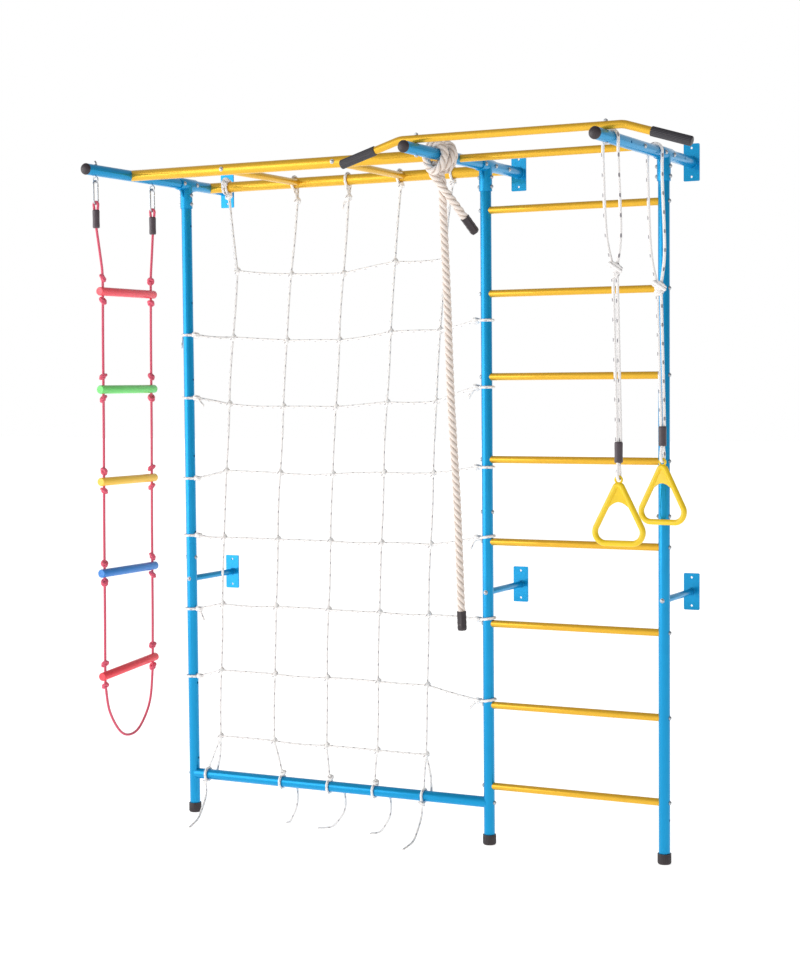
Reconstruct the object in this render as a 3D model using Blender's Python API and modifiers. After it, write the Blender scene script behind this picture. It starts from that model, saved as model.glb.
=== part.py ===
"""Wall-mounted jungle gym: posts, roof arms, ladder, net, rope ladder, climbing rope and rings.

The origin is the centre of the wall face of the middle arm's plate. +X runs along the wall to
the right, +Y into the wall and +Z up. The arm axes lie at z = 0 and the wall at y = 0.
"""

import math

import bmesh
import bpy
from mathutils import Matrix, Vector

# Clearances
GAP = 0.0003            # between pieces that touch
SEAT_GAP = 0.0004       # between a curved tube end and the tube that it lands on

# Posts, feet and arms
POST_D = 0.038
POST_WALL = 0.002
POST_BACK = 0.285       # post axis to wall
LEFT_BAY = 1.200        # left post to middle post
RIGHT_BAY = 0.630       # middle post to right post
ARM_HEIGHT = 2.314      # floor to arm axis
FOOT_D = 0.046
FOOT_HEIGHT = 0.035
FOOT_SOLE = 0.008
ARM_D = 0.038
ARM_WALL = 0.002
ARM_REACH = 0.894       # wall to the arm's open end
CAP_RIM_D = 0.0392
CAP_DOME = 0.013
CAP_PLUG = 0.015
PLATE_WIDTH = 0.055
PLATE_HEIGHT = 0.125
PLATE_THICK = 0.005
PLATE_HOLE_D = 0.008
PLATE_HOLE_UP = 0.048   # plate centre to hole

# Clamps between post and arm
CLAMP_THICK = 0.003
CLAMP_HALF_ARM = 0.053  # half length along the arm
CLAMP_DROP = 0.087      # arm axis to the lower edge
CLAMP_SPLIT = 0.0005    # half of the gap between the shells
CLAMP_BOLT_OUT = 0.041
CLAMP_BOLT_DROPS = (0.040, 0.072)
GUSSET_SIDE = 0.056
GUSSET_THICK = 0.003    # of each shell's flange

# Lower wall brackets and cross bar
BRACKET_HEIGHT = 0.870  # above the floor
BRACKET_D = 0.022
BRACKET_WALL = 0.002
CROSSBAR_D = 0.038
CROSSBAR_WALL = 0.002
CROSSBAR_HEIGHT = 0.145

# Ladder
RUNG_D = 0.025
RUNG_WALL = 0.0015
RUNG_COUNT = 8
RUNG_FIRST = 0.203      # floor to the lowest rung
RUNG_LAST_DROP = 0.151  # arm axis to the highest rung
RUNG_STEP = (ARM_HEIGHT - RUNG_FIRST - RUNG_LAST_DROP) / (RUNG_COUNT - 1)
SPLICE_LEFT = 0.949     # height of the splice bolt in the left post
SPLICE_RIGHT = 1.144    # and in the other two

# Overhead rails, bars and grips
RAIL_D = 0.038
RAIL_WALL = 0.002
FRONT_RAIL_Y = -0.635
REAR_RAIL_Y = -0.127
OVERHEAD_D = 0.025
OVERHEAD_WALL = 0.0015
OVERHEAD_XS = (-0.816, -0.386)
STRAIGHT_D = 0.025
STRAIGHT_WALL = 0.0015
STRAIGHT_Y = -0.514
PULLUP_D = 0.025
PULLUP_Y = -0.807
PULLUP_LEFT_BEND = 0.056    # beyond the middle arm
PULLUP_RIGHT_BEND = 0.056   # beyond the right arm
PULLUP_SLOPE = math.radians(17)
PULLUP_END = 0.219          # sloping length, along the bar
PULLUP_BEND_R = 0.080
GRIP_WALL = 0.0025
GRIP_LENGTH = 0.130
GRIP_END = 0.003

# Bolts
HEAD_D = 0.016
HEAD_HEIGHT = 0.006
NUT_D = 0.014
NUT_HEIGHT = 0.008
HEAD_SINK = 0.001
HOLE_D = 0.009

# Eye bolts and spring hooks
EYE_WIRE = 0.005
EYE_R = 0.0095
EYE_FRONT_Y = 0.052 - ARM_REACH     # a little behind the arm's open end
EYE_REAR_Y = -0.505
EYE_SHANK_D = 0.008
EYE_NUT_D = 0.015
EYE_NUT_HEIGHT = 0.012
HOOK_WIRE = 0.006
HOOK_LENGTH = 0.085
HOOK_WIDTH = 0.030
HOOK_MOUTH = 0.038      # length of the gate's opening
GATE_D = 0.0052

# Rope ladder
LADDER_ROPE_D = 0.009
LADDER_LOOP_R = 0.009
LADDER_SLEEVE_TOP = -0.133
LADDER_SLEEVE_LENGTH = 0.062
LADDER_SLEEVE_WIDTH = 0.026
LADDER_SLEEVE_DEPTH = 0.014
LADDER_BOTTOM_DROP = -1.956
LADDER_KNOT_D = 0.025
LADDER_KNOT_HEIGHT = 0.031
ROPE_RUNG_D = 0.029
ROPE_RUNG_LENGTH = 0.327
ROPE_RUNG_ZS = (-0.408, -0.743, -1.059, -1.374, -1.716)
ROPE_RUNG_TILTS = (0.0, 0.0, 0.0, 0.0, 0.089)
ROPE_RUNG_MIDDLES = (-0.666, -0.691)    # y of the first and of the last rung
ROPE_HOLE_INSET = 0.0195    # end of a rung to the rope
ROPE_KNOT_RISES = (0.017, 0.015, 0.006, 0.004, 0.013)   # bare rope above each rung

# Climbing rope
CLIMB_D = 0.027
CLIMB_TURN_Y = 0.0345   # each turn's distance from the rail's axis
CLIMB_CROSS_R = 0.043
CLIMB_SPLIT_Z = -0.111  # where the hanging rope leaves the knot
CLIMB_CAP_WALL = 0.0022
CLIMB_CAP_LENGTH = 0.064
CLIMB_CAP_END = 0.003

# Rings and their ropes
RING_ROPE_D = 0.010
RING_ROPE_SPREAD = 0.0055   # half of the doubled rope's spacing
FRONT_RING_Y = -0.752
REAR_RING_Y = -0.352
RING_X = 0.018          # eye beyond the right arm's axis
FRONT_EYE_Z = -1.027
REAR_EYE_Z = -0.990
FRONT_KNOT_Z = -0.397
REAR_KNOT_Z = -0.436
RING_KNOT_D = 0.030
RING_SLEEVE_UP = 0.051  # eye centre to the sleeve's lower end
RING_SLEEVE_LENGTH = 0.064
RING_SLEEVE_WIDTH = 0.027
RING_SLEEVE_DEPTH = 0.020
RING_BAR_D = 0.019
RING_WIDTH = 0.172
RING_DROP = 0.203       # eye centre to the ring's lowest point
RING_CORNER_R = 0.034
RING_APEX_R = 0.012
RING_APEX_DROP = 0.028
RING_WEB_DROP = 0.062
RING_WEB_THICK = 0.008
RING_EYE_R = 0.0105
RING_EYE_WIRE = 0.007
REAR_RING_TURN = math.radians(-8)

# Climbing net
NET_ROPE_D = 0.008
NET_KNOT_D = 0.021
NET_COLUMNS = 5
NET_ROWS = 8
NET_FIRST_X = -1.055
NET_STEP_X = 0.229
NET_CLOSING = 0.006     # how much the columns close up to the right
NET_FIRST_Z = -0.314
NET_LAST_UP = 0.1449    # cross bar's axis to the lowest row
NET_STEP_Z = (ARM_HEIGHT + NET_FIRST_Z - CROSSBAR_HEIGHT - NET_LAST_UP) / (NET_ROWS - 1)
NET_LEAN = -0.030       # the lowest row's shift along X
NET_ROW_FRONT = 0.0023  # how far the rows lie in front of the columns
NET_TURN_R = NET_ROPE_D / 2 + GAP
TOP_TURNS = (-1.115, -0.834, -0.613, -0.404, -0.196)    # turns round the rear rail
TOP_TIES = (-1.115, -0.822, -0.610, -0.399, -0.196)     # knots below it
TOP_KNOT_DROPS = (0.033, 0.067, 0.064, 0.033, 0.033)
LOW_TIES = (-1.140, -0.823, -0.627, -0.444, -0.250)
LEFT_TIE_HEIGHTS = (1.766, 1.536, 1.241, 1.031, 0.759, 0.509)
RIGHT_TIE_HEIGHTS = (1.794, 1.568, 1.297, 1.042, 0.776, 0.4915)
NUT_TURN_UP = 0.0125    # a turn passes this far above the nut of a rung beside it
RUNG_TURN_UP = 0.020    # and this far above the rung's axis on the other side

# Sides of the round pieces
MAIN_SIDES = 16
SMALL_SIDES = 10

# Derived places
LEFT_X, MIDDLE_X, RIGHT_X = -LEFT_BAY, 0.0, RIGHT_BAY
POST_Y = -POST_BACK
FLOOR_Z = -ARM_HEIGHT
POST_R, ARM_R, RAIL_R = POST_D / 2, ARM_D / 2, RAIL_D / 2
CROSSBAR_Z = FLOOR_Z + CROSSBAR_HEIGHT
BRACKET_Z = FLOOR_Z + BRACKET_HEIGHT
PULLUP_Z = ARM_R + PULLUP_D / 2 + GAP
RUNG_ZS = [FLOOR_Z + RUNG_FIRST + RUNG_STEP * i for i in range(RUNG_COUNT)]
EYE_Z = -(ARM_R + GAP + EYE_WIRE / 2 + EYE_R)
HOOK_TOP_Z = EYE_Z - EYE_R + EYE_WIRE / 2 + HOOK_WIRE / 2 + GAP
HOOK_LOW_Z = HOOK_TOP_Z - HOOK_LENGTH + HOOK_WIRE
SIDES_X = {"left": LEFT_X, "middle": MIDDLE_X, "right": RIGHT_X}


def clear_scene():
    for obj in list(bpy.data.objects):
        bpy.data.objects.remove(obj, do_unlink=True)


def new_collection(name, hidden=False):
    made = bpy.data.collections.new(name)
    bpy.context.scene.collection.children.link(made)
    made.hide_render = hidden
    return made


def srgb(code):
    values = [int(code[i:i + 2], 16) / 255 for i in (0, 2, 4)]
    return [v / 12.92 if v <= 0.04045 else ((v + 0.055) / 1.055) ** 2.4 for v in values] + [1.0]


def new_material(name, code, roughness, metallic=0.0):
    made = bpy.data.materials.new(name)
    made.use_nodes = True
    shader = made.node_tree.nodes["Principled BSDF"]
    shader.inputs["Base Color"].default_value = srgb(code)
    shader.inputs["Roughness"].default_value = roughness
    shader.inputs["Metallic"].default_value = metallic
    made.diffuse_color = srgb(code)
    return made


clear_scene()
PIECES = new_collection("WallJungleGym")
CUTTERS = new_collection("Cutters", hidden=True)

BLUE = new_material("Blue powder coat", "00A0DC", 0.32)
YELLOW = new_material("Yellow powder coat", "F5BE2E", 0.32)
BLACK = new_material("Black rubber", "1B1C20", 0.7)
GRIP = new_material("Black foam grip", "17181B", 0.8)
STEEL = new_material("Zinc-plated steel", "C8CBCE", 0.3, 1.0)
NET_ROPE = new_material("White flecked rope", "E9E8E6", 0.85)
RED_ROPE = new_material("Red rope", "C8324B", 0.85)
CREAM_ROPE = new_material("Cream twisted rope", "E6DCC6", 0.9)
LEMON = new_material("Lemon yellow plastic", "F5D21E", 0.35)
RUNG_COLOURS = [
    new_material(f"{name} rung plastic", code, 0.4)
    for name, code in (("Red", "E0303F"), ("Green", "3FAE49"), ("Yellow", "F6C62B"),
                       ("Blue", "1E9BD7"), ("Lower red", "E0303F"))
]


def evaluated_mesh(obj):
    graph = bpy.context.evaluated_depsgraph_get()
    return bpy.data.meshes.new_from_object(obj.evaluated_get(graph))


def turned(name, profile, sides, ring=False):
    """Mesh of a (radius, height) profile turned once about Z, with a flat facing +X."""
    mesh = bpy.data.meshes.new(name)
    edges = [(i, i + 1) for i in range(len(profile) - 1)]
    if ring:
        edges.append((len(profile) - 1, 0))
    mesh.from_pydata([(r, 0.0, z) for r, z in profile], edges, [])
    obj = bpy.data.objects.new(name, mesh)
    CUTTERS.objects.link(obj)
    screw = obj.modifiers.new("Turn", "SCREW")
    screw.steps = screw.render_steps = sides
    screw.use_merge_vertices = True
    screw.merge_threshold = 0.00001
    screw.use_smooth_shade = True
    made = evaluated_mesh(obj)
    bpy.data.objects.remove(obj)
    made.transform(Matrix.Rotation(math.pi / sides, 4, "Z"))
    return made


def tube_mesh(name, length, outer, wall, sides):
    """Open tube along Z, its middle at the origin."""
    ro, ri, half = outer / 2, outer / 2 - wall, length / 2
    return turned(name, [(ro, half), (ro, -half), (ri, -half), (ri, half)], sides, ring=True)


def rod(name, points, radius, rounds=1, closed=False, swell=()):
    """Mesh of a round rod along the points. It swells at the points numbered in swell."""
    curve = bpy.data.curves.new(name, "CURVE")
    curve.dimensions = "3D"
    spline = curve.splines.new("POLY")
    spline.points.add(len(points) - 1)
    for point, place in zip(spline.points, points):
        point.co = (*place, 1.0)
    for i, factor in dict(swell).items():
        spline.points[i].radius = factor
    spline.use_cyclic_u = closed
    curve.bevel_depth = radius
    curve.bevel_resolution = rounds
    curve.use_fill_caps = not closed
    obj = bpy.data.objects.new(name, curve)
    CUTTERS.objects.link(obj)
    made = evaluated_mesh(obj)
    made.transform(obj.matrix_world)
    bpy.data.objects.remove(obj)
    bpy.data.curves.remove(curve)
    work = bmesh.new()
    work.from_mesh(made)
    bmesh.ops.remove_doubles(work, verts=work.verts, dist=0.000001)
    bmesh.ops.recalc_face_normals(work, faces=work.faces)
    work.to_mesh(made)
    work.free()
    return made


def box_mesh(name, size):
    work = bmesh.new()
    bmesh.ops.create_cube(work, size=1.0, matrix=Matrix.Diagonal((*size, 1.0)))
    made = bpy.data.meshes.new(name)
    work.to_mesh(made)
    work.free()
    return made


def lump(name, width, height):
    """Knot as a plain round lump."""
    work = bmesh.new()
    size = Matrix.Diagonal((width / 2, width / 2, height / 2, 1.0))
    bmesh.ops.create_uvsphere(work, u_segments=6, v_segments=4, radius=1.0, matrix=size)
    made = bpy.data.meshes.new(name)
    work.to_mesh(made)
    work.free()
    return made


def along(direction, place=(0.0, 0.0, 0.0)):
    """Matrix that stands a piece's +Z along the direction, at the place."""
    turn = Vector(direction).to_track_quat("Z", "Y").to_matrix().to_4x4()
    return Matrix.Translation(place) @ turn


def joined(name, pieces):
    """One mesh of (mesh, matrix) pieces that don't meet each other."""
    work = bmesh.new()
    for mesh, matrix in pieces:
        start = len(work.verts)
        work.from_mesh(mesh)
        work.verts.ensure_lookup_table()
        bmesh.ops.transform(work, matrix=matrix, verts=work.verts[start:])
    made = bpy.data.meshes.new(name)
    work.to_mesh(made)
    work.free()
    return made


def piece(name, mesh, material, place=(0.0, 0.0, 0.0), turn=None):
    """Object of the mesh, at the place and turned by the rotation matrix."""
    obj = bpy.data.objects.new(name, mesh)
    PIECES.objects.link(obj)
    obj.matrix_world = Matrix.Translation(place) @ (turn or Matrix.Identity(4))
    mesh.materials.clear()
    mesh.materials.append(material)
    mesh.shade_smooth()
    mesh.set_sharp_from_angle(angle=math.radians(40))
    return obj


def boolean(obj, operation, mesh, label):
    """Joins to the piece, or cuts from it, a mesh given in world coordinates."""
    helper = bpy.data.objects.new(f"{obj.name} {label}", mesh)
    CUTTERS.objects.link(helper)
    helper.hide_render = True
    helper.display_type = "WIRE"
    modifier = obj.modifiers.new(label, "BOOLEAN")
    modifier.operation = operation
    modifier.solver = "EXACT"
    modifier.object = helper
    return obj


def hang(obj, pivot):
    """Parents the piece to the empty on its joint's axis, where it stands."""
    obj.parent = pivot
    obj.matrix_parent_inverse = Matrix.Translation(-pivot.location)


def pivot_at(name, place):
    empty = bpy.data.objects.new(name, None)
    PIECES.objects.link(empty)
    empty.location = place
    empty.empty_display_size = 0.05
    return empty


def head_mesh():
    r = HEAD_D / 2
    profile = [(0.0, HEAD_HEIGHT), (r, 0.35 * HEAD_HEIGHT), (r, -HEAD_SINK),
               (0.0, -HEAD_SINK)]
    return turned("Bolt head", profile, 6)


def nut_mesh():
    r = NUT_D / 2
    profile = [(0.0, NUT_HEIGHT), (r, NUT_HEIGHT), (r, -HEAD_SINK), (0.0, -HEAD_SINK)]
    return turned("Nut", profile, 6)


HEAD = head_mesh()
NUT = nut_mesh()


def facet(radius, sides):
    """Distance from a round piece's axis to the middle of its flats."""
    return radius * math.cos(math.pi / sides)


def hole(place, direction, length, width=HOLE_D, sides=8):
    """Cutter for one round hole."""
    mesh = turned("Hole", [(0, length / 2), (width / 2, length / 2),
                           (width / 2, -length / 2), (0, -length / 2)], sides)
    return mesh, along(direction, place)


def add_posts():
    flat = facet(POST_R, MAIN_SIDES)
    top = -(ARM_R + GAP)
    bottom = FLOOR_Z + FOOT_SOLE + GAP
    for side, x in SIDES_X.items():
        mesh = tube_mesh(f"post_{side}", top - bottom, POST_D, POST_WALL, MAIN_SIDES)
        post = piece(f"post_{side}", mesh, BLUE, (x, POST_Y, (top + bottom) / 2))
        splice = FLOOR_Z + (SPLICE_LEFT if side == "left" else SPLICE_RIGHT)
        bolts = [(HEAD, (1, 0, 0), x + flat, POST_Y, splice),
                 (NUT, (-1, 0, 0), x - flat, POST_Y, splice),
                 (HEAD, (0, -1, 0), x, POST_Y - flat, BRACKET_Z)]
        if side == "right":
            bolts += [(HEAD, (1, 0, 0), x + flat, POST_Y, z) for z in RUNG_ZS]
        if side == "middle":
            bolts += [(NUT, (-1, 0, 0), x - flat, POST_Y, z) for z in RUNG_ZS]
            bolts += [(NUT, (1, 0, 0), x + flat, POST_Y, CROSSBAR_Z)]
        if side == "left":
            bolts += [(HEAD, (-1, 0, 0), x - flat, POST_Y, CROSSBAR_Z)]
        heads = joined(f"Post bolts {side}",
                       [(m, along(d, (a, b, c))) for m, d, a, b, c in bolts])
        boolean(post, "UNION", heads, "Bolts")
        open_holes = {"left": RUNG_ZS, "middle": [], "right": [CROSSBAR_Z]}[side]
        if open_holes:
            cuts = joined(f"Post holes {side}",
                          [hole((x + POST_R, POST_Y, z), (1, 0, 0), POST_R, HOLE_D, 6)
                           for z in open_holes])
            boolean(post, "DIFFERENCE", cuts, "Holes")


def add_feet():
    ro, ri = FOOT_D / 2, POST_R + GAP
    profile = [(0, FOOT_SOLE), (ri, FOOT_SOLE), (ri, FOOT_HEIGHT), (ro, FOOT_HEIGHT),
               (ro, 0.0), (0, 0.0)]
    for side, x in SIDES_X.items():
        piece(f"foot_{side}", turned(f"foot_{side}", profile, MAIN_SIDES), BLACK,
              (x, POST_Y, FLOOR_Z))


def wall_plate(x, z):
    """Plate against the wall, as a (mesh, matrix) piece."""
    mesh = box_mesh("Plate", (PLATE_WIDTH, PLATE_THICK, PLATE_HEIGHT))
    return mesh, Matrix.Translation((x, -PLATE_THICK / 2, z))


def plate_holes(x, z):
    return [hole((x, -PLATE_THICK / 2, z + s * PLATE_HOLE_UP), (0, 1, 0), 3 * PLATE_THICK,
                 PLATE_HOLE_D) for s in (-1, 1)]


def arm_bolts(side):
    """Heads that clamp the rails and bars to one arm's sides, and the pull-up bar below."""
    x = SIDES_X[side]
    flat = facet(ARM_R, MAIN_SIDES)
    below = [(HEAD, (0, 0, -1), (x, PULLUP_Y, -flat))]
    rails = (FRONT_RAIL_Y, REAR_RAIL_Y)
    if side == "left":
        return [(HEAD, (-1, 0, 0), (x - flat, y, 0)) for y in rails]
    if side == "middle":
        straight = (HEAD, (-1, 0, 0), (x - flat, STRAIGHT_Y, 0))
        return below + [straight] + [(HEAD, (1, 0, 0), (x + flat, y, 0)) for y in rails]
    return below + [(HEAD, (1, 0, 0), (x + flat, STRAIGHT_Y, 0))]


def arm_holes(side):
    """Holes that carry the eye bolts, and the drilled holes that stay empty."""
    x = SIDES_X[side]
    if side == "left":
        shank = EYE_SHANK_D + 4 * GAP
        return [hole((x, y, 0), (0, 0, 1), 2 * ARM_D, shank)
                for y in (EYE_FRONT_Y, EYE_REAR_Y)]
    if side == "right":
        return [hole((x, y, 0), (1, 0, 0), 2 * ARM_D) for y in (FRONT_RAIL_Y, REAR_RAIL_Y)]
    return []


def add_arms():
    length = ARM_REACH - PLATE_THICK / 2
    for side, x in SIDES_X.items():
        mesh = tube_mesh(f"arm_{side}", length, ARM_D, ARM_WALL, MAIN_SIDES)
        middle = (x, -(ARM_REACH + PLATE_THICK / 2) / 2, 0)
        arm = piece(f"arm_{side}", mesh, BLUE, middle, along((0, 1, 0)))
        plate = joined(f"Arm plate {side}", [wall_plate(x, 0)])
        boolean(arm, "UNION", plate, "Plate")
        heads = joined(f"Arm bolts {side}", [(m, along(d, p)) for m, d, p in arm_bolts(side)])
        boolean(arm, "UNION", heads, "Bolts")
        cuts = joined(f"Arm holes {side}", plate_holes(x, 0) + arm_holes(side))
        boolean(arm, "DIFFERENCE", cuts, "Holes")


def add_arm_caps():
    rim = CAP_RIM_D / 2
    plug = facet(ARM_R - ARM_WALL, MAIN_SIDES) - GAP
    profile = [(0, CAP_DOME), (0.6 * rim, 0.78 * CAP_DOME), (rim, 0.1 * CAP_DOME), (rim, 0),
               (plug, 0), (plug, -CAP_PLUG), (0, -CAP_PLUG)]
    for side, x in SIDES_X.items():
        piece(f"arm_cap_{side}", turned(f"arm_cap_{side}", profile, SMALL_SIDES), BLACK,
              (x, -ARM_REACH - GAP, 0), along((0, -1, 0)))


def round_bar(length, width, place, direction, sides):
    """Plain cylinder as a (mesh, matrix) piece."""
    mesh = turned("Bar", [(0, length / 2), (width / 2, length / 2),
                          (width / 2, -length / 2), (0, -length / 2)], sides)
    return mesh, along(direction, place)


def gusset():
    """Square plate turned on its corner, which fills both inner corners of the clamp."""
    mesh = box_mesh("Gusset", (2 * GUSSET_THICK, GUSSET_SIDE, GUSSET_SIDE))
    mesh.transform(Matrix.Rotation(math.radians(45), 4, "X"))
    return mesh


def add_clamps():
    outer_arm = (ARM_D + 2 * (GAP + CLAMP_THICK)) / math.cos(math.pi / SMALL_SIDES)
    outer_post = (POST_D + 2 * (GAP + CLAMP_THICK)) / math.cos(math.pi / SMALL_SIDES)
    arm_flat = facet(outer_arm / 2, SMALL_SIDES)
    post_flat = facet(outer_post / 2, SMALL_SIDES)
    room = 2 * GAP / math.cos(math.pi / MAIN_SIDES)
    for side, x in SIDES_X.items():
        for hand, sign in (("right", 1), ("left", -1)):
            name = f"clamp_{side}_{hand}"
            mesh, turn = round_bar(2 * CLAMP_HALF_ARM, outer_arm, (0, 0, 0), (0, 1, 0),
                                   SMALL_SIDES)
            shell = piece(name, mesh, BLUE, (x, POST_Y, 0), turn)
            post_part = round_bar(CLAMP_DROP, outer_post, (x, POST_Y, -CLAMP_DROP / 2),
                                  (0, 0, 1), SMALL_SIDES)
            boolean(shell, "UNION", joined(f"{name} sleeve", [post_part]), "Sleeve")
            corner = Matrix.Translation((x, POST_Y, -ARM_R))
            boolean(shell, "UNION", joined(f"{name} web", [(gusset(), corner)]), "Gusset")
            tubes = [round_bar(4 * CLAMP_HALF_ARM, ARM_D + room, (x, POST_Y, 0), (0, 1, 0),
                               MAIN_SIDES)]
            boolean(shell, "DIFFERENCE", joined(f"{name} arm room", tubes), "Arm room")
            tubes = [round_bar(2 * CLAMP_DROP, POST_D + room,
                               (x, POST_Y, -CLAMP_DROP), (0, 0, 1), MAIN_SIDES)]
            boolean(shell, "DIFFERENCE", joined(f"{name} post room", tubes), "Post room")
            half = box_mesh("Half", (0.2, 0.4, 0.4))
            place = Matrix.Translation((x - sign * (0.1 - CLAMP_SPLIT), POST_Y, 0))
            boolean(shell, "DIFFERENCE", joined(f"{name} other half", [(half, place)]), "Half")
            bolt = HEAD if sign > 0 else NUT
            spots = [(arm_flat, s * CLAMP_BOLT_OUT, 0.0) for s in (-1, 1)]
            spots += [(post_flat, 0.0, -drop) for drop in CLAMP_BOLT_DROPS]
            bolts = [(bolt, along((sign, 0, 0), (x + sign * out, POST_Y + dy, dz)))
                     for out, dy, dz in spots]
            boolean(shell, "UNION", joined(f"{name} bolts", bolts), "Bolts")


def add_brackets():
    start = POST_Y
    length = -start - PLATE_THICK / 2
    for side, x in SIDES_X.items():
        mesh = tube_mesh(f"wall_bracket_{side}", length, BRACKET_D, BRACKET_WALL, SMALL_SIDES)
        turn = along((0, 1, 0))
        saddle_across(mesh, length, POST_R)
        bracket = piece(f"wall_bracket_{side}", mesh, BLUE,
                        (x, start + length / 2, BRACKET_Z), turn)
        plate = joined(f"Bracket plate {side}", [wall_plate(x, BRACKET_Z)])
        boolean(bracket, "UNION", plate, "Plate")
        boolean(bracket, "DIFFERENCE", joined(f"Bracket holes {side}",
                                              plate_holes(x, BRACKET_Z)), "Holes")


def saddle_across(mesh, length, radius):
    """Fits the low end of a tube that runs along Y to an upright tube."""
    reach = radius + SEAT_GAP
    world = along((0, 1, 0)).to_3x3()
    for vertex in mesh.vertices:
        if vertex.co.z < 0:
            across = (world @ vertex.co).x
            vertex.co.z = -length / 2 + math.sqrt(reach ** 2 - across ** 2)


def cross_tube(name, material, start, end, y, z, outer, wall, sides, seat, upright):
    """Tube along X between two tubes of radius seat, upright ones or ones along Y."""
    length = end - start
    mesh = tube_mesh(name, length, outer, wall, sides)
    turn = along((1, 0, 0))
    world = turn.to_3x3()
    reach = seat + SEAT_GAP
    for vertex in mesh.vertices:
        spot = world @ vertex.co
        across = spot.y if upright else spot.z
        depth = math.sqrt(max(reach ** 2 - across ** 2, (0.3 * reach) ** 2))
        vertex.co.z = math.copysign(length / 2 - depth, vertex.co.z)
    return piece(name, mesh, material, ((start + end) / 2, y, z), turn)


def add_bars():
    cross_tube("cross_bar", BLUE, LEFT_X, MIDDLE_X, POST_Y, CROSSBAR_Z,
               CROSSBAR_D, CROSSBAR_WALL, MAIN_SIDES, POST_R, upright=True)
    for i, z in enumerate(RUNG_ZS):
        cross_tube(f"ladder_rung_{i + 1}", YELLOW, MIDDLE_X, RIGHT_X, POST_Y, z,
                   RUNG_D, RUNG_WALL, SMALL_SIDES, POST_R, upright=True)
    front = cross_tube("rail_front", YELLOW, LEFT_X, MIDDLE_X, FRONT_RAIL_Y, 0,
                       RAIL_D, RAIL_WALL, MAIN_SIDES, ARM_R, upright=False)
    flat = facet(RAIL_R, MAIN_SIDES)
    heads = [(HEAD, along((0, -1, 0), (x, FRONT_RAIL_Y - flat, 0))) for x in OVERHEAD_XS]
    boolean(front, "UNION", joined("Front rail bolts", heads), "Bolts")
    cross_tube("rail_rear", YELLOW, LEFT_X, MIDDLE_X, REAR_RAIL_Y, 0,
               RAIL_D, RAIL_WALL, MAIN_SIDES, ARM_R, upright=False)
    cross_tube("straight_bar", YELLOW, MIDDLE_X, RIGHT_X, STRAIGHT_Y, 0,
               STRAIGHT_D, STRAIGHT_WALL, SMALL_SIDES, ARM_R, upright=False)


def add_overhead_rungs():
    length = REAR_RAIL_Y - FRONT_RAIL_Y
    turn = along((0, 1, 0))
    world = turn.to_3x3()
    reach = RAIL_R + SEAT_GAP
    for i, x in enumerate(OVERHEAD_XS):
        mesh = tube_mesh(f"overhead_rung_{i + 1}", length, OVERHEAD_D, OVERHEAD_WALL,
                         SMALL_SIDES)
        for vertex in mesh.vertices:
            depth = math.sqrt(reach ** 2 - (world @ vertex.co).z ** 2)
            vertex.co.z = math.copysign(length / 2 - depth, vertex.co.z)
        piece(f"overhead_rung_{i + 1}", mesh, YELLOW,
              (x, (FRONT_RAIL_Y + REAR_RAIL_Y) / 2, 0), turn)


def bent_end(x_bend, sign):
    """Points of one sloping end of the pull-up bar, from the bend outwards."""
    points = []
    tangent = PULLUP_BEND_R * math.tan(PULLUP_SLOPE / 2)
    steps = 4
    for i in range(steps + 1):
        angle = PULLUP_SLOPE * i / steps
        dx = PULLUP_BEND_R * math.sin(angle) - tangent
        dz = -PULLUP_BEND_R * (1 - math.cos(angle))
        points.append(Vector((x_bend + sign * dx, PULLUP_Y, PULLUP_Z + dz)))
    out = Vector((sign * math.cos(PULLUP_SLOPE), 0, -math.sin(PULLUP_SLOPE)))
    corner = Vector((x_bend, PULLUP_Y, PULLUP_Z))
    points.append(corner + out * PULLUP_END)
    return points, out


def cup_profile(inner, wall, length, end, sides):
    """Profile of a cup over a bar's end, which lies at height zero inside it."""
    ri = (inner + GAP) / math.cos(math.pi / sides)
    ro = inner + GAP + wall
    return [(0, end + GAP), (0.85 * ro, end + GAP), (ro, 0.3 * end), (ro, end - length),
            (ri, end - length), (ri, GAP), (0, GAP)]


def add_pullup_bar():
    left, left_out = bent_end(MIDDLE_X - PULLUP_LEFT_BEND, -1)
    right, right_out = bent_end(RIGHT_X + PULLUP_RIGHT_BEND, 1)
    mesh = rod("pull_up_bar", left[::-1] + right, PULLUP_D / 2, 4)
    origin = Vector(((MIDDLE_X + RIGHT_X) / 2, PULLUP_Y, PULLUP_Z))
    mesh.transform(Matrix.Translation(-origin))
    bar = piece("pull_up_bar", mesh, YELLOW, origin)
    nuts = [(NUT, along((0, 0, 1), (x, PULLUP_Y, PULLUP_Z + PULLUP_D / 2)))
            for x in (MIDDLE_X, RIGHT_X)]
    boolean(bar, "UNION", joined("Pull-up bar nuts", nuts), "Nuts")
    profile = cup_profile(PULLUP_D / 2, GRIP_WALL, GRIP_LENGTH, GRIP_END, SMALL_SIDES)
    for name, points, out in (("left", left, left_out), ("right", right, right_out)):
        sleeve = turned(f"grip_{name}", profile, SMALL_SIDES)
        piece(f"grip_{name}", sleeve, GRIP, points[-1], along(out))


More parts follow.
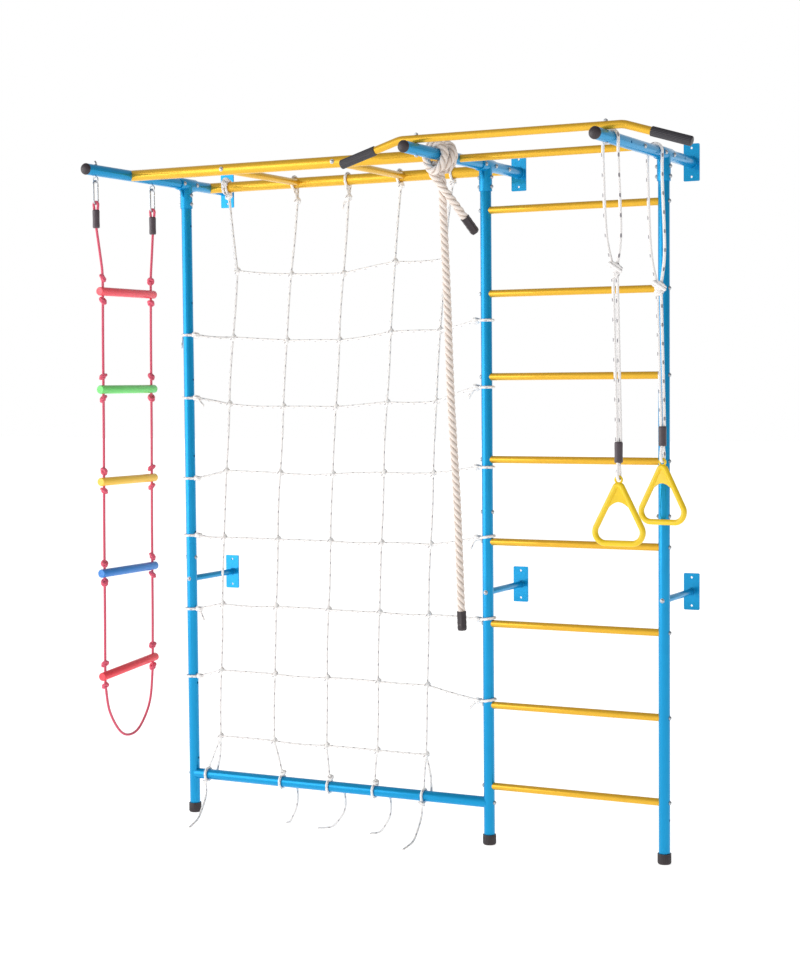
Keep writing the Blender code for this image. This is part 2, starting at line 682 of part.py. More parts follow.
def add_eye_bolts():
    for name, y in (("front", EYE_FRONT_Y), ("rear", EYE_REAR_Y)):
        ring = [(EYE_R * math.cos(a), 0, EYE_R * math.sin(a))
                for a in (2 * math.pi * i / 10 for i in range(10))]
        mesh = rod(f"eye_bolt_{name}", ring, EYE_WIRE / 2, 1, closed=True)
        eye = piece(f"eye_bolt_{name}", mesh, STEEL, (LEFT_X, y, EYE_Z))
        top = ARM_R + EYE_NUT_HEIGHT
        low = EYE_Z + EYE_R
        shank = turned("Shank", [(0, top), (EYE_SHANK_D / 2, top), (EYE_SHANK_D / 2, low),
                                 (0, low)], 8)
        nut = turned("Eye nut", [(0, top - 0.003), (EYE_NUT_D / 2, top - 0.003),
                                 (EYE_NUT_D / 2, ARM_R + GAP), (0, ARM_R + GAP)], 6)
        spot = Matrix.Translation((LEFT_X, y, 0))
        boolean(eye, "UNION", joined(f"Shank {name}", [(shank, spot)]), "Shank")
        boolean(eye, "UNION", joined(f"Eye nut {name}", [(nut, spot)]), "Nut")


def hook_wire(r, straight):
    """Centre line of a spring hook, from the gate's upper end round to its lower end."""
    middle = -r - straight / 2
    points = [Vector((0, r, middle + HOOK_MOUTH / 2))]
    for start, z in ((0.0, -r), (math.pi, -r - straight)):
        for i in range(7):
            angle = start + math.pi * i / 6
            points.append(Vector((0, r * math.cos(angle), z + r * math.sin(angle))))
    points.append(Vector((0, r, middle - HOOK_MOUTH / 2)))
    return points


def add_hooks(pivot):
    r = (HOOK_WIDTH - HOOK_WIRE) / 2
    straight = HOOK_LENGTH - HOOK_WIRE - 2 * r
    gate_r = GATE_D / 2
    length = HOOK_MOUTH - 2 * GAP - gate_r
    profile = [(0, length), (gate_r, length), (gate_r, 0), (0.7 * gate_r, -0.7 * gate_r),
               (0, -gate_r)]
    for name, y in (("front", EYE_FRONT_Y), ("rear", EYE_REAR_Y)):
        mesh = rod(f"spring_hook_{name}", hook_wire(r, straight), HOOK_WIRE / 2, 1)
        hook = piece(f"spring_hook_{name}", mesh, STEEL, (LEFT_X, y, HOOK_TOP_Z))
        hang(hook, pivot)
        low = HOOK_TOP_Z - r - straight / 2 - HOOK_MOUTH / 2
        base = Vector((LEFT_X, y + r, low + GAP + gate_r))
        hinge = pivot_at(f"gate_{name}_hinge", base)
        hang(piece(f"hook_gate_{name}", turned(f"hook_gate_{name}", profile, 8), STEEL, base),
             hinge)
        hang_pivot_under(hinge, pivot)


def route(points, spacing):
    """Evenly spaced points on a smooth curve through the given ones."""
    points = [Vector(p) for p in points]
    ends = [2 * points[0] - points[1]] + points + [2 * points[-1] - points[-2]]
    fine = []
    for i in range(1, len(ends) - 2):
        a, b, c, d = ends[i - 1:i + 3]
        for k in range(24):
            t = k / 24
            fine.append(0.5 * ((2 * b) + (c - a) * t + (2 * a - 5 * b + 4 * c - d) * t ** 2
                               + (3 * b - a - 3 * c + d) * t ** 3))
    fine.append(points[-1])
    lengths = [0.0]
    for one, other in zip(fine, fine[1:]):
        lengths.append(lengths[-1] + (other - one).length)
    count = max(2, round(lengths[-1] / spacing))
    result, k = [], 0
    for i in range(count):
        target = lengths[-1] * i / count
        while lengths[k + 1] < target:
            k += 1
        part = (target - lengths[k]) / (lengths[k + 1] - lengths[k])
        result.append(fine[k].lerp(fine[k + 1], part))
    return result + [fine[-1]]


def ladder_fall(z, name):
    """The place of one fall of the rope ladder at a height."""
    eye, sign = (EYE_FRONT_Y, -1) if name == "front" else (EYE_REAR_Y, 1)
    reach = sign * (ROPE_RUNG_LENGTH / 2 - ROPE_HOLE_INSET)
    start = LADDER_SLEEVE_TOP - LADDER_SLEEVE_LENGTH
    first = ROPE_RUNG_ZS[0] + knot_offset(0, 1) + LADDER_KNOT_HEIGHT / 2
    high, low = ROPE_RUNG_MIDDLES
    if z > first:
        share = max(0.0, (start - z) / (start - first))
        return Vector((LEFT_X, eye + (high + reach - eye) * share, z))
    share = min(1.0, (first - z) / (first - ROPE_RUNG_ZS[-1]))
    return Vector((LEFT_X, high + (low - high) * share + reach, z))


def rung_level(i, name):
    """Height at which a fall passes the rung."""
    offset = (ROPE_RUNG_LENGTH / 2) * ROPE_RUNG_TILTS[i]
    return ROPE_RUNG_ZS[i] + (-offset if name == "front" else offset)


def knot_offset(i, way):
    """Distance from a rung's axis to the knot above it (way 1) or below it (way -1)."""
    slack = ROPE_RUNG_TILTS[i] * LADDER_KNOT_D / 2
    bare = ROPE_KNOT_RISES[i] if way > 0 else 0.0
    return (ROPE_RUNG_D + LADDER_KNOT_HEIGHT) / 2 + GAP + slack + bare


def fall_points(name):
    """One fall from its sleeve down, and the numbers of the points where it is knotted."""
    points = [ladder_fall(LADDER_SLEEVE_TOP - 0.75 * LADDER_SLEEVE_LENGTH, name)]
    knots = []
    for i in range(len(ROPE_RUNG_ZS)):
        for way in (1, -1):
            z = rung_level(i, name) + way * knot_offset(i, way)
            knots.append(len(points) + 1)
            points += [ladder_fall(z + share * LADDER_KNOT_HEIGHT / 2, name)
                       for share in (1, 0, -1)]
    return points, knots


def ladder_rope_points():
    """The whole rope: down the front fall, through the bottom loop and up the rear one."""
    front, front_knots = fall_points("front")
    rear, rear_knots = fall_points("rear")
    low_y = (front[-1].y + rear[-1].y) / 2
    bottom = [front[-1], Vector((LEFT_X, front[-1].y + 0.022, -1.855)),
              Vector((LEFT_X, low_y - 0.062, -1.934)),
              Vector((LEFT_X, low_y, LADDER_BOTTOM_DROP)),
              Vector((LEFT_X, low_y + 0.062, -1.934)),
              Vector((LEFT_X, rear[-1].y - 0.022, -1.855)), rear[-1]]
    loop = route(bottom, 0.028)[1:-1]
    points = front + loop + rear[::-1]
    swell = LADDER_KNOT_D / LADDER_ROPE_D
    knots = front_knots + [len(points) - 1 - i for i in rear_knots]
    return points, {i: swell for i in knots}


def bight(y, centre_z, radius, low_z):
    """Loop of rope in the XZ plane, round the spring hook's lower bar."""
    points = [Vector((LEFT_X - 0.0055, y, low_z)),
              Vector((LEFT_X - radius, y, centre_z - 0.012))]
    for i in range(6):
        angle = math.pi - math.pi * i / 5
        points.append(Vector((LEFT_X + radius * math.cos(angle), y,
                              centre_z + radius * math.sin(angle))))
    points += [Vector((LEFT_X + radius, y, centre_z - 0.012)),
               Vector((LEFT_X + 0.0055, y, low_z))]
    return points


def add_rope_ladder(pivot):
    r = LADDER_ROPE_D / 2
    points, swell = ladder_rope_points()
    mesh = rod("ladder_rope", points, r, 2, swell=swell)
    origin = Vector(pivot.location)
    mesh.transform(Matrix.Translation(-origin))
    rope = piece("ladder_rope", mesh, RED_ROPE, origin)
    loops, sleeves = [], []
    for name, y in (("front", EYE_FRONT_Y), ("rear", EYE_REAR_Y)):
        top = HOOK_LOW_Z + HOOK_WIRE / 2 + GAP + r
        points = bight(y, top - LADDER_LOOP_R, LADDER_LOOP_R, LADDER_SLEEVE_TOP - 0.012)
        loops.append((rod("Bight", points, r, 1), Matrix.Identity(4)))
        sleeve = box_or_round("Sleeve", LADDER_SLEEVE_WIDTH, LADDER_SLEEVE_DEPTH,
                              LADDER_SLEEVE_LENGTH)
        place = Vector((LEFT_X, y, LADDER_SLEEVE_TOP - LADDER_SLEEVE_LENGTH / 2))
        sleeves.append((sleeve, Matrix.Translation(place)))
    boolean(rope, "UNION", joined("Ladder sleeves", sleeves), "Sleeves")
    boolean(rope, "UNION", joined("Ladder bights", loops), "Bights")
    hang(rope, pivot)
    for i, z in enumerate(ROPE_RUNG_ZS):
        add_rope_rung(i, z, pivot)


def box_or_round(name, width, depth, height):
    """Short sleeve with an oval section."""
    mesh = turned(name, [(0, height / 2), (0.5, height / 2), (0.5, -height / 2),
                         (0, -height / 2)], 8)
    mesh.transform(Matrix.Diagonal((width, depth, 1.0, 1.0)))
    return mesh


def add_rope_rung(i, z, pivot):
    """Plastic rung with a hole near each end for the rope."""
    half = ROPE_RUNG_LENGTH / 2
    front, rear = ladder_fall(z, "front"), ladder_fall(z, "rear")
    middle = (front + rear) / 2
    edge = ROPE_RUNG_D / 2
    profile = [(0, half), (0.8 * edge, half), (edge, half - 0.004), (edge, -half + 0.004),
               (0.8 * edge, -half), (0, -half)]
    tilt = ROPE_RUNG_TILTS[i]
    rung = piece(f"rope_rung_{i + 1}", turned(f"rope_rung_{i + 1}", profile, SMALL_SIDES),
                 RUNG_COLOURS[i], middle, along((0, math.cos(tilt), math.sin(tilt))))
    width = (LADDER_ROPE_D + 2 * GAP + 0.0008) / math.cos(math.pi / 8)
    cuts = []
    for name in ("front", "rear"):
        high, low = ladder_fall(z + 0.03, name), ladder_fall(z - 0.03, name)
        cuts.append(hole((high + low) / 2, high - low, 2 * ROPE_RUNG_D, width))
    boolean(rung, "DIFFERENCE", joined(f"Rope holes {i + 1}", cuts), "Rope holes")
    hang(rung, pivot)


def knot_turn(y):
    """Ring of rope round the middle arm."""
    sides = 10
    radius = (ARM_R + GAP + CLIMB_D / 2) / math.cos(math.pi / sides)
    points = [(radius * math.cos(a), y, radius * math.sin(a))
              for a in (2 * math.pi * (i + 0.5) / sides for i in range(sides))]
    return rod("Turn", points, CLIMB_D / 2, 2, closed=True)


def climb_route():
    """Route of the hanging rope below the knot."""
    y = FRONT_RAIL_Y + 0.010
    return [(0.002, y, CLIMB_SPLIT_Z), (0.006, y + 0.003, -0.250), (0.013, y + 0.007, -0.464),
            (0.021, y + 0.013, -0.786), (0.037, y + 0.019, -1.109), (0.047, y + 0.025, -1.460)]


def climb_pivot():
    """Centre of the hanging rope's rounded upper end, where it swings."""
    top, below = (Vector(p) for p in climb_route()[:2])
    return top + (below - top).normalized() * CLIMB_D / 2


def tail_route():
    y = FRONT_RAIL_Y + CLIMB_TURN_Y
    return [(-0.004, y, -0.030), (0.003, y + 0.006, -0.077), (0.035, y + 0.012, -0.143),
            (0.063, y + 0.012, -0.199)]


def end_cap(name, tip, direction):
    """Cup over a rope's end: its open end faces against the direction."""
    profile = cup_profile(CLIMB_D / 2, CLIMB_CAP_WALL, CLIMB_CAP_LENGTH, CLIMB_CAP_END,
                          SMALL_SIDES)
    return piece(name, turned(name, profile, SMALL_SIDES), BLACK, tip, along(direction))


def add_climbing_rope(knot_pivot, rope_pivot):
    r = CLIMB_D / 2
    near, far = FRONT_RAIL_Y - CLIMB_TURN_Y, FRONT_RAIL_Y + CLIMB_TURN_Y
    origin = Vector(knot_pivot.location)
    mesh = knot_turn(near)
    mesh.transform(Matrix.Translation(-origin))
    knot = piece("climbing_knot", mesh, CREAM_ROPE, origin)
    boolean(knot, "UNION", knot_turn(far), "Second turn")
    cross = []
    for i in range(7):
        share = i / 6
        angle = math.radians(95 - 190 * share)
        radius = 0.0335 + (CLIMB_CROSS_R - 0.0335) * math.sin(math.pi * share)
        cross.append((radius * math.cos(angle), far + (near - far) * share,
                      radius * math.sin(angle)))
    boolean(knot, "UNION", rod("Crossing", cross, r, 2), "Crossing")
    tail_points = route(tail_route(), 0.035)
    tail_way = (tail_points[-1] - tail_points[-2]).normalized()
    tail_end = tail_points[-1] + tail_way * (CLIMB_CAP_LENGTH - CLIMB_CAP_END)
    boolean(knot, "UNION", rod("Tail", tail_points + [tail_end], r, 2), "Tail")
    hanging = route(climb_route(), 0.110)
    leaving = (climb_pivot() - hanging[0]).normalized()
    fall = [Vector((-0.018, near + 0.003, -0.028)), Vector((-0.011, near + 0.018, -0.043)),
            hanging[0] - leaving * 0.040, hanging[0] - leaving * 0.018,
            hanging[0] - leaving * GAP]
    boolean(knot, "UNION", rod("Fall", fall, r, 2), "Fall")
    hang(knot, knot_pivot)
    cap = end_cap("tail_cap", tail_end, tail_way)
    hang(cap, knot_pivot)

    way = (hanging[-1] - hanging[-2]).normalized()
    end = hanging[-1] + way * (CLIMB_CAP_LENGTH + 0.009)
    round_end = [climb_pivot() - leaving * r * math.cos(math.radians(a)) for a in (10, 50, 90)]
    narrow = {i: math.sin(math.radians(a)) for i, a in enumerate((10, 50))}
    mesh = rod("climbing_rope", round_end + hanging[1:] + [end], r, 2, swell=narrow)
    origin = Vector(rope_pivot.location)
    mesh.transform(Matrix.Translation(-origin))
    hang(piece("climbing_rope", mesh, CREAM_ROPE, origin), rope_pivot)
    cap = end_cap("rope_cap", end, way)
    hang(cap, rope_pivot)


def ring_outline(count):
    """Closed centre line of a rounded triangle, below its eye."""
    bar = RING_BAR_D / 2
    half = RING_WIDTH / 2 - bar - RING_CORNER_R
    low = -(RING_DROP - bar - RING_CORNER_R)
    circles = [((0.0, -RING_APEX_DROP), RING_APEX_R), ((-half, low), RING_CORNER_R),
               ((half, low), RING_CORNER_R)]
    points = []
    for i in range(count):
        angle = 2 * math.pi * i / count + math.pi / 2
        way = (math.cos(angle), math.sin(angle))
        centre, radius = max(circles, key=lambda c: c[0][0] * way[0] + c[0][1] * way[1] + c[1])
        points.append((centre[0] + radius * way[0], 0.0, centre[1] + radius * way[1]))
    return points


def web_mesh():
    """Flat plate that fills the ring's apex."""
    bar = RING_BAR_D / 2
    slope = (RING_WIDTH / 2 - bar) / (RING_DROP - 2 * bar)
    top, low = -RING_APEX_DROP + 0.004, -RING_WEB_DROP
    wide_top = 0.006
    wide_low = wide_top + slope * (top - low) * 0.9
    mesh = box_mesh("Web", (1.0, RING_WEB_THICK, 1.0))
    for vertex in mesh.vertices:
        upper = vertex.co.z > 0
        vertex.co.x *= 2 * (wide_top if upper else wide_low)
        vertex.co.z = top if upper else low
    return mesh


def add_ring(name, y, eye_z, turn, rope_pivot, knot_z, top_y):
    x = RIGHT_X + RING_X
    eye = Vector((x, y, eye_z))
    rope_r = RING_ROPE_D / 2
    bore = RING_EYE_R - RING_EYE_WIRE / 2
    bight_z = eye_z + facet(bore, SMALL_SIDES) - rope_r - GAP
    pivot = pivot_at(f"ring_{name}_swing", (x, y, bight_z))
    spin = Matrix.Rotation(turn, 4, "Z")
    ring = piece(f"ring_{name}", rod(f"ring_{name}", ring_outline(17), RING_BAR_D / 2, 2,
                                     closed=True), LEMON, eye, spin)
    world = Matrix.Translation(eye) @ spin
    boolean(ring, "UNION", joined(f"Ring web {name}", [(web_mesh(), world)]), "Web")
    loop = [(RING_EYE_R * math.cos(a), 0, RING_EYE_R * math.sin(a))
            for a in (2 * math.pi * (i + 0.5) / 10 for i in range(10))]
    torus = rod("Eye", loop, RING_EYE_WIRE / 2, 1, closed=True)
    boolean(ring, "UNION", joined(f"Ring eye {name}", [(torus, world)]), "Eye")
    room = hole(eye, (-math.sin(turn), math.cos(turn), 0), 2 * RING_BAR_D, 2 * bore,
                SMALL_SIDES)
    boolean(ring, "DIFFERENCE", joined(f"Eye bore {name}", [room]), "Eye bore")
    hang(ring, pivot)
    hang_pivot_under(pivot, rope_pivot)
    add_ring_rope(name, y, eye_z, bight_z, rope_pivot, knot_z, top_y)


def hang_pivot_under(pivot, parent):
    pivot.parent = parent
    pivot.matrix_parent_inverse = Matrix.Translation(-parent.location)


def add_ring_rope(name, y, eye_z, bight_z, pivot, knot_z, top_y):
    """Loop over the arm, knot, doubled rope, sleeve and the bight through the ring's eye."""
    r = RING_ROPE_D / 2
    x = RIGHT_X + RING_X
    knot = Vector((RIGHT_X + 0.010, top_y + (y - top_y) * 0.6, knot_z))
    over = (ARM_R + GAP + facet(r, 6)) / math.cos(math.pi / 16)
    loop = [knot + Vector((-0.006, 0, 0.002)),
            Vector((RIGHT_X - 0.018, knot.y, 0.72 * knot_z)),
            Vector((RIGHT_X - over, top_y, 0.2 * knot_z))]
    for i in range(9):
        angle = math.pi * (1 - i / 8)
        loop.append(Vector((RIGHT_X + over * math.cos(angle), top_y, over * math.sin(angle))))
    loop += [Vector((RIGHT_X + over, top_y, 0.2 * knot_z)),
             Vector((RIGHT_X + 0.028, knot.y, 0.72 * knot_z)),
             knot + Vector((0.006, 0, 0.002))]
    mesh = rod(f"ring_rope_{name}", loop, r, 1)
    origin = Vector(pivot.location)
    mesh.transform(Matrix.Translation(-origin))
    rope = piece(f"ring_rope_{name}", mesh, NET_ROPE, origin)
    boolean(rope, "UNION", joined(f"Ring knot {name}", [(lump("Knot", RING_KNOT_D, 0.036),
            Matrix.Translation(knot))]), "Knot")
    sleeve_z = eye_z + RING_SLEEVE_UP + RING_SLEEVE_LENGTH / 2
    strands = []
    for sign in (-1, 1):
        side = Vector((0, sign * RING_ROPE_SPREAD, 0))
        strands.append((rod("Strand", [knot + side - Vector((0, 0, 0.004)),
                                       Vector((x, y, sleeve_z)) + side], r, 1),
                        Matrix.Identity(4)))
    boolean(rope, "UNION", joined(f"Doubled rope {name}", strands), "Doubled rope")
    sleeve = box_or_round("Ring sleeve", RING_SLEEVE_WIDTH, RING_SLEEVE_DEPTH,
                          RING_SLEEVE_LENGTH)
    boolean(rope, "UNION", joined(f"Ring sleeve {name}",
            [(sleeve, Matrix.Translation((x, y, sleeve_z)))]), "Sleeve")
    bend = 0.0085
    low = [Vector((x, y - 0.006, eye_z + RING_SLEEVE_UP + 0.012)),
           Vector((x, y - bend - 0.0015, bight_z + bend + 0.012))]
    for i in range(7):
        angle = math.pi + math.pi * i / 6
        low.append(Vector((x, y + (bend + 0.0015) * math.cos(angle),
                           bight_z + bend + bend * math.sin(angle))))
    low += [Vector((x, y + bend + 0.0015, bight_z + bend + 0.012)),
            Vector((x, y + 0.006, eye_z + RING_SLEEVE_UP + 0.012))]
    boolean(rope, "UNION", rod("Ring bight", low, r, 1), "Bight")
    hang(rope, pivot)


def net_y(z):
    """The net leans from the rear rail down to the cross bar."""
    share = min(1.0, max(0.0, -z / -CROSSBAR_Z))
    return POST_Y + (REAR_RAIL_Y - POST_Y) * (1 - share) ** 2.2


def net_node(column, row):
    """Place of the knot in a column and row, both counted from zero at the top left."""
    z = NET_FIRST_Z - NET_STEP_Z * row
    x = NET_FIRST_X + NET_STEP_X * column - NET_CLOSING * column * (column - 1)
    x += NET_LEAN * row / (NET_ROWS - 1)
    return Vector((x, net_y(z), z))


def turn_round(centre, axis, radius, tilt=0.0):
    """Ring of net rope round a tube."""
    sides = 8
    r = (radius + NET_TURN_R) / math.cos(math.pi / sides) / math.cos(tilt)
    matrix = along(axis, centre)
    points = [matrix @ Vector((r * math.cos(a), r * math.sin(a), 0))
              for a in (2 * math.pi * (i + 0.37) / sides for i in range(sides))]
    return rod("Turn", points, NET_ROPE_D / 2, 0, closed=True)


def net_columns():
    """The upright strands, from the rear rail to the cross bar, knotted at each row."""
    strands = []
    half = NET_KNOT_D / 2
    for column in range(NET_COLUMNS):
        rail_end = Vector((TOP_TURNS[column], REAR_RAIL_Y, -(RAIL_R + NET_TURN_R)))
        nodes = [top_knot(column)] + [net_node(column, row) for row in range(NET_ROWS)]
        ends = nodes + [low_end(column)]
        points, knots = [rail_end], []
        for node, following in zip(nodes, ends[1:]):
            before = (node - points[-1]).normalized() * half
            after = (following - node).normalized() * half
            knots.append(len(points) + (node != nodes[0]))
            points += [node, node + after] if node == nodes[0] else [node - before, node,
                                                                     node + after]
        points.append(low_end(column))
        swell = {i: NET_KNOT_D / NET_ROPE_D for i in knots}
        strands.append((rod("Column", points, NET_ROPE_D / 2, 1, swell=swell),
                        Matrix.Identity(4)))
    return strands


def top_knot(column):
    return Vector((TOP_TIES[column], REAR_RAIL_Y - 0.002, -TOP_KNOT_DROPS[column]))


def low_end(column):
    """Where a column meets its turn on top of the cross bar."""
    out = CROSSBAR_D / 2 + NET_TURN_R
    return Vector((LOW_TIES[column], POST_Y, CROSSBAR_Z + out))


def low_knot(column):
    """Knot on the front lower side of the cross bar, where the tail leaves."""
    out = (CROSSBAR_D + NET_KNOT_D) / 2 + 2 * GAP
    way = math.radians(49)
    return Vector((LOW_TIES[column], POST_Y - out * math.cos(way),
                   CROSSBAR_Z - out * math.sin(way)))


def tie_turn(side, i):
    """Heights of a tie's turn where it faces the net and on the far side of its post."""
    if side == "left":
        return [FLOOR_Z + LEFT_TIE_HEIGHTS[i]] * 2
    level = FLOOR_Z + RIGHT_TIE_HEIGHTS[i]
    rung = min(RUNG_ZS, key=lambda z: abs(z - level))
    near = max(level, rung + NUT_TURN_UP) if abs(rung - level) < NUT_TURN_UP else level
    far = max(level, rung + RUNG_TURN_UP) if abs(rung - level) < RUNG_TURN_UP else level
    return near, far


def tie_point(side, i):
    """Knot of a row's tie beside a post."""
    if side == "left":
        x = LEFT_X + POST_R + NET_ROPE_D + 0.004
    else:
        x = MIDDLE_X - POST_R - NUT_HEIGHT - NET_KNOT_D / 2 - 0.0015
    return Vector((x, POST_Y, tie_turn(side, i)[0]))


def tie_end(side, i):
    """Where a row meets the turn round its post."""
    out = POST_R + NET_TURN_R
    x = LEFT_X + out if side == "left" else MIDDLE_X - out
    return Vector((x, POST_Y, tie_turn(side, i)[0]))


def net_rows():
    """The level strands: the middle rows reach the posts, the outer two only their knots."""
    strands = []
    front = Matrix.Translation((0, -NET_ROW_FRONT, 0))
    for row in range(NET_ROWS):
        nodes = [net_node(column, row) for column in range(NET_COLUMNS)]
        swell = {}
        if 0 < row < NET_ROWS - 1:
            left, right = tie_point("left", row - 1), tie_point("right", row - 1)
            nodes = [left] + nodes + [right]
        points = list(nodes)
        if 0 < row < NET_ROWS - 1:
            half = Vector((NET_KNOT_D / 2, 0, 0))
            points = [tie_end("left", row - 1), left, left + half] + points[1:-1]
            points += [right - half, right, tie_end("right", row - 1)]
            swell = {i: NET_KNOT_D / NET_ROPE_D for i in (1, len(points) - 2)}
        strands.append((rod("Row", points, NET_ROPE_D / 2, 0, swell=swell), front))
    return strands


def net_turns():
    turns = [turn_round((x, REAR_RAIL_Y, 0), (1, 0, 0), RAIL_R) for x in TOP_TURNS]
    turns += [turn_round((x, POST_Y, CROSSBAR_Z), (1, 0, 0), CROSSBAR_D / 2) for x in LOW_TIES]
    for side, x in (("left", LEFT_X), ("right", MIDDLE_X)):
        for i in range(NET_ROWS - 2):
            near, far = tie_turn(side, i)
            width = 2 * (POST_R + NET_TURN_R)
            tilt = math.atan((far - near) / width)
            turns.append(turn_round((x, POST_Y, (near + far) / 2),
                                    (-math.sin(tilt), 0, math.cos(tilt)), POST_R, tilt))
    return [(mesh, Matrix.Identity(4)) for mesh in turns]


def net_tails():
    """Free ends that hang from the cross bar to the floor and come forward on it."""
    floor = FLOOR_Z + NET_ROPE_D / 2 + GAP
    ends = ((-1.063, -0.537), (-0.787, -0.323), (-0.641, -0.351), (-0.434, -0.344),
            (-0.225, -0.500))
    tails = []
    for column, (end_x, end_y) in enumerate(ends):
        start = low_knot(column)
        way = Vector((end_x - start.x, end_y - start.y, 0))
        points = [start, start + Vector((0.12 * way.x, 0.06 * way.y, -0.050))]
        for share, rise in ((0.4, 0.010), (0.7, 0.0), (1.0, 0.0)):
            points.append(Vector((start.x, start.y, floor + rise)) + way * share)
        points = route(points, 0.034)
        for point in points:
            point.z = max(point.z, floor)
        points.insert(0, points[0] - (points[1] - points[0]).normalized() * NET_KNOT_D / 2)
        points.insert(2, points[1].lerp(points[2], 0.35))
        tails.append((rod("Tail", points, NET_ROPE_D / 2, 1,
                          swell={1: NET_KNOT_D / NET_ROPE_D}), Matrix.Identity(4)))
    return tails


def add_net():
    origin = Vector((NET_FIRST_X, REAR_RAIL_Y, 0))
    mesh = joined("climbing_net", net_columns())
    mesh.transform(Matrix.Translation(-origin))
    net = piece("climbing_net", mesh, NET_ROPE, origin)
    boolean(net, "UNION", joined("Net rows", net_rows()), "Rows")
    boolean(net, "UNION", joined("Net turns", net_turns()), "Turns")
    boolean(net, "UNION", joined("Net tails", net_tails()), "Tails")


def add_frame():
    add_posts()
    add_feet()
    add_arms()
    add_arm_caps()
    add_clamps()
    add_brackets()
    add_bars()
    add_overhead_rungs()
    add_pullup_bar()


def add_hanging_pieces():
    add_eye_bolts()
    ladder = pivot_at("rope_ladder_swing", (LEFT_X, EYE_REAR_Y, HOOK_TOP_Z))
    add_hooks(ladder)
    add_rope_ladder(ladder)
    knot = pivot_at("climbing_knot_swing", (MIDDLE_X, FRONT_RAIL_Y, 0))
    rope = pivot_at("climbing_rope_swing", climb_pivot())
    hang_pivot_under(rope, knot)
    add_climbing_rope(knot, rope)
    for name, y, eye, knot_z, turn, top in (
            ("front", FRONT_RING_Y, FRONT_EYE_Z, FRONT_KNOT_Z, 0.0, FRONT_RING_Y - 0.014),
            ("rear", REAR_RING_Y, REAR_EYE_Z, REAR_KNOT_Z, REAR_RING_TURN,
             REAR_RING_Y - 0.018)):
        pivot = pivot_at(f"ring_rope_{name}_swing", (RIGHT_X, top, 0))
        add_ring(name, y, eye, turn, pivot, knot_z, top)


add_frame()
add_hanging_pieces()
add_net()
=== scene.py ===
# %% [markdown]
# A wall-mounted jungle gym, dressed for a render. The solids come packed in a fixed frame, in metres: x
# runs along the wall, y points into the wall and z is up. The low-sided tubes of that frame carry the
# joints and the sizes. This lesson puts smooth tubes, laid rope, knots, bolts and paint in the same places,
# one kind of piece at a time.

import math

import bmesh
import bpy
from mathutils import Matrix, Vector


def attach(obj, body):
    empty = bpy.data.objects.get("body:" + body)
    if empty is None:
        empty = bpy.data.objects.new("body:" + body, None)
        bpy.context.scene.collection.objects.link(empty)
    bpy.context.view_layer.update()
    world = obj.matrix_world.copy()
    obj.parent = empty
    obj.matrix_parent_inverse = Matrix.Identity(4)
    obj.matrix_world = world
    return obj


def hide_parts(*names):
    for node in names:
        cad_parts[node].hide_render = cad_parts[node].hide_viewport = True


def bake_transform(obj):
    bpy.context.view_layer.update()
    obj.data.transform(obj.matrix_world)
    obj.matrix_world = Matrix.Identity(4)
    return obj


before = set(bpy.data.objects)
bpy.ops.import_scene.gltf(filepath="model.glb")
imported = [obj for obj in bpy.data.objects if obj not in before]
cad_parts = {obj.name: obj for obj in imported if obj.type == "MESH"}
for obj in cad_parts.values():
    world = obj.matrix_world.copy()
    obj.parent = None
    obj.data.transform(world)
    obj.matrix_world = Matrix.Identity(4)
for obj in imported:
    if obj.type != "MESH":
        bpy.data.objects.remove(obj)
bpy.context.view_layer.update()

# %% [markdown]
# The photograph was taken from the front right, a little above half height, with a long lens. A long lens
# keeps the posts almost parallel. The camera's place and angle were fitted to posts, rungs and arms whose
# sizes are known, so they are written here as plain numbers: the focal length is in pixels of an 800 by 977
# image, and a 36 mm sensor turns it into millimetres.

# %% Camera
PICTURE_TALL = 977
FOCAL_PIXELS = 1909.2
CAMERA_PLACE = Vector((2.681, -6.194, -0.724))
CAMERA_YAW = math.radians(27.03)
CAMERA_DOWN = math.radians(3.21)
CAMERA_ROLL = -0.0087

forward = Vector((-math.sin(CAMERA_YAW) * math.cos(CAMERA_DOWN),
                  math.cos(CAMERA_YAW) * math.cos(CAMERA_DOWN), -math.sin(CAMERA_DOWN)))
right = Vector((math.cos(CAMERA_YAW), math.sin(CAMERA_YAW), 0))
upward = right.cross(forward)
right, upward = (math.cos(CAMERA_ROLL) * right + math.sin(CAMERA_ROLL) * upward,
                 -math.sin(CAMERA_ROLL) * right + math.cos(CAMERA_ROLL) * upward)

lens = bpy.data.cameras.new("Camera")
lens.sensor_width = 36
lens.lens = FOCAL_PIXELS / PICTURE_TALL * lens.sensor_width
lens.dof.use_dof = False
camera = bpy.data.objects.new("Camera", lens)
bpy.context.scene.collection.objects.link(camera)
turn = Matrix((right, upward, -forward)).transposed().to_4x4()
camera.matrix_world = Matrix.Translation(CAMERA_PLACE) @ turn
bpy.context.scene.camera = camera
print(f"lens {lens.lens:.2f} mm")

# %% [markdown]
# The sizes below are those of the real frame: 38 mm tube for posts, roof arms and overhead rails, 25 mm
# tube for everything that a hand closes round, and soft rope of 9 to 27 mm. The places are named once and
# used by every later cell.

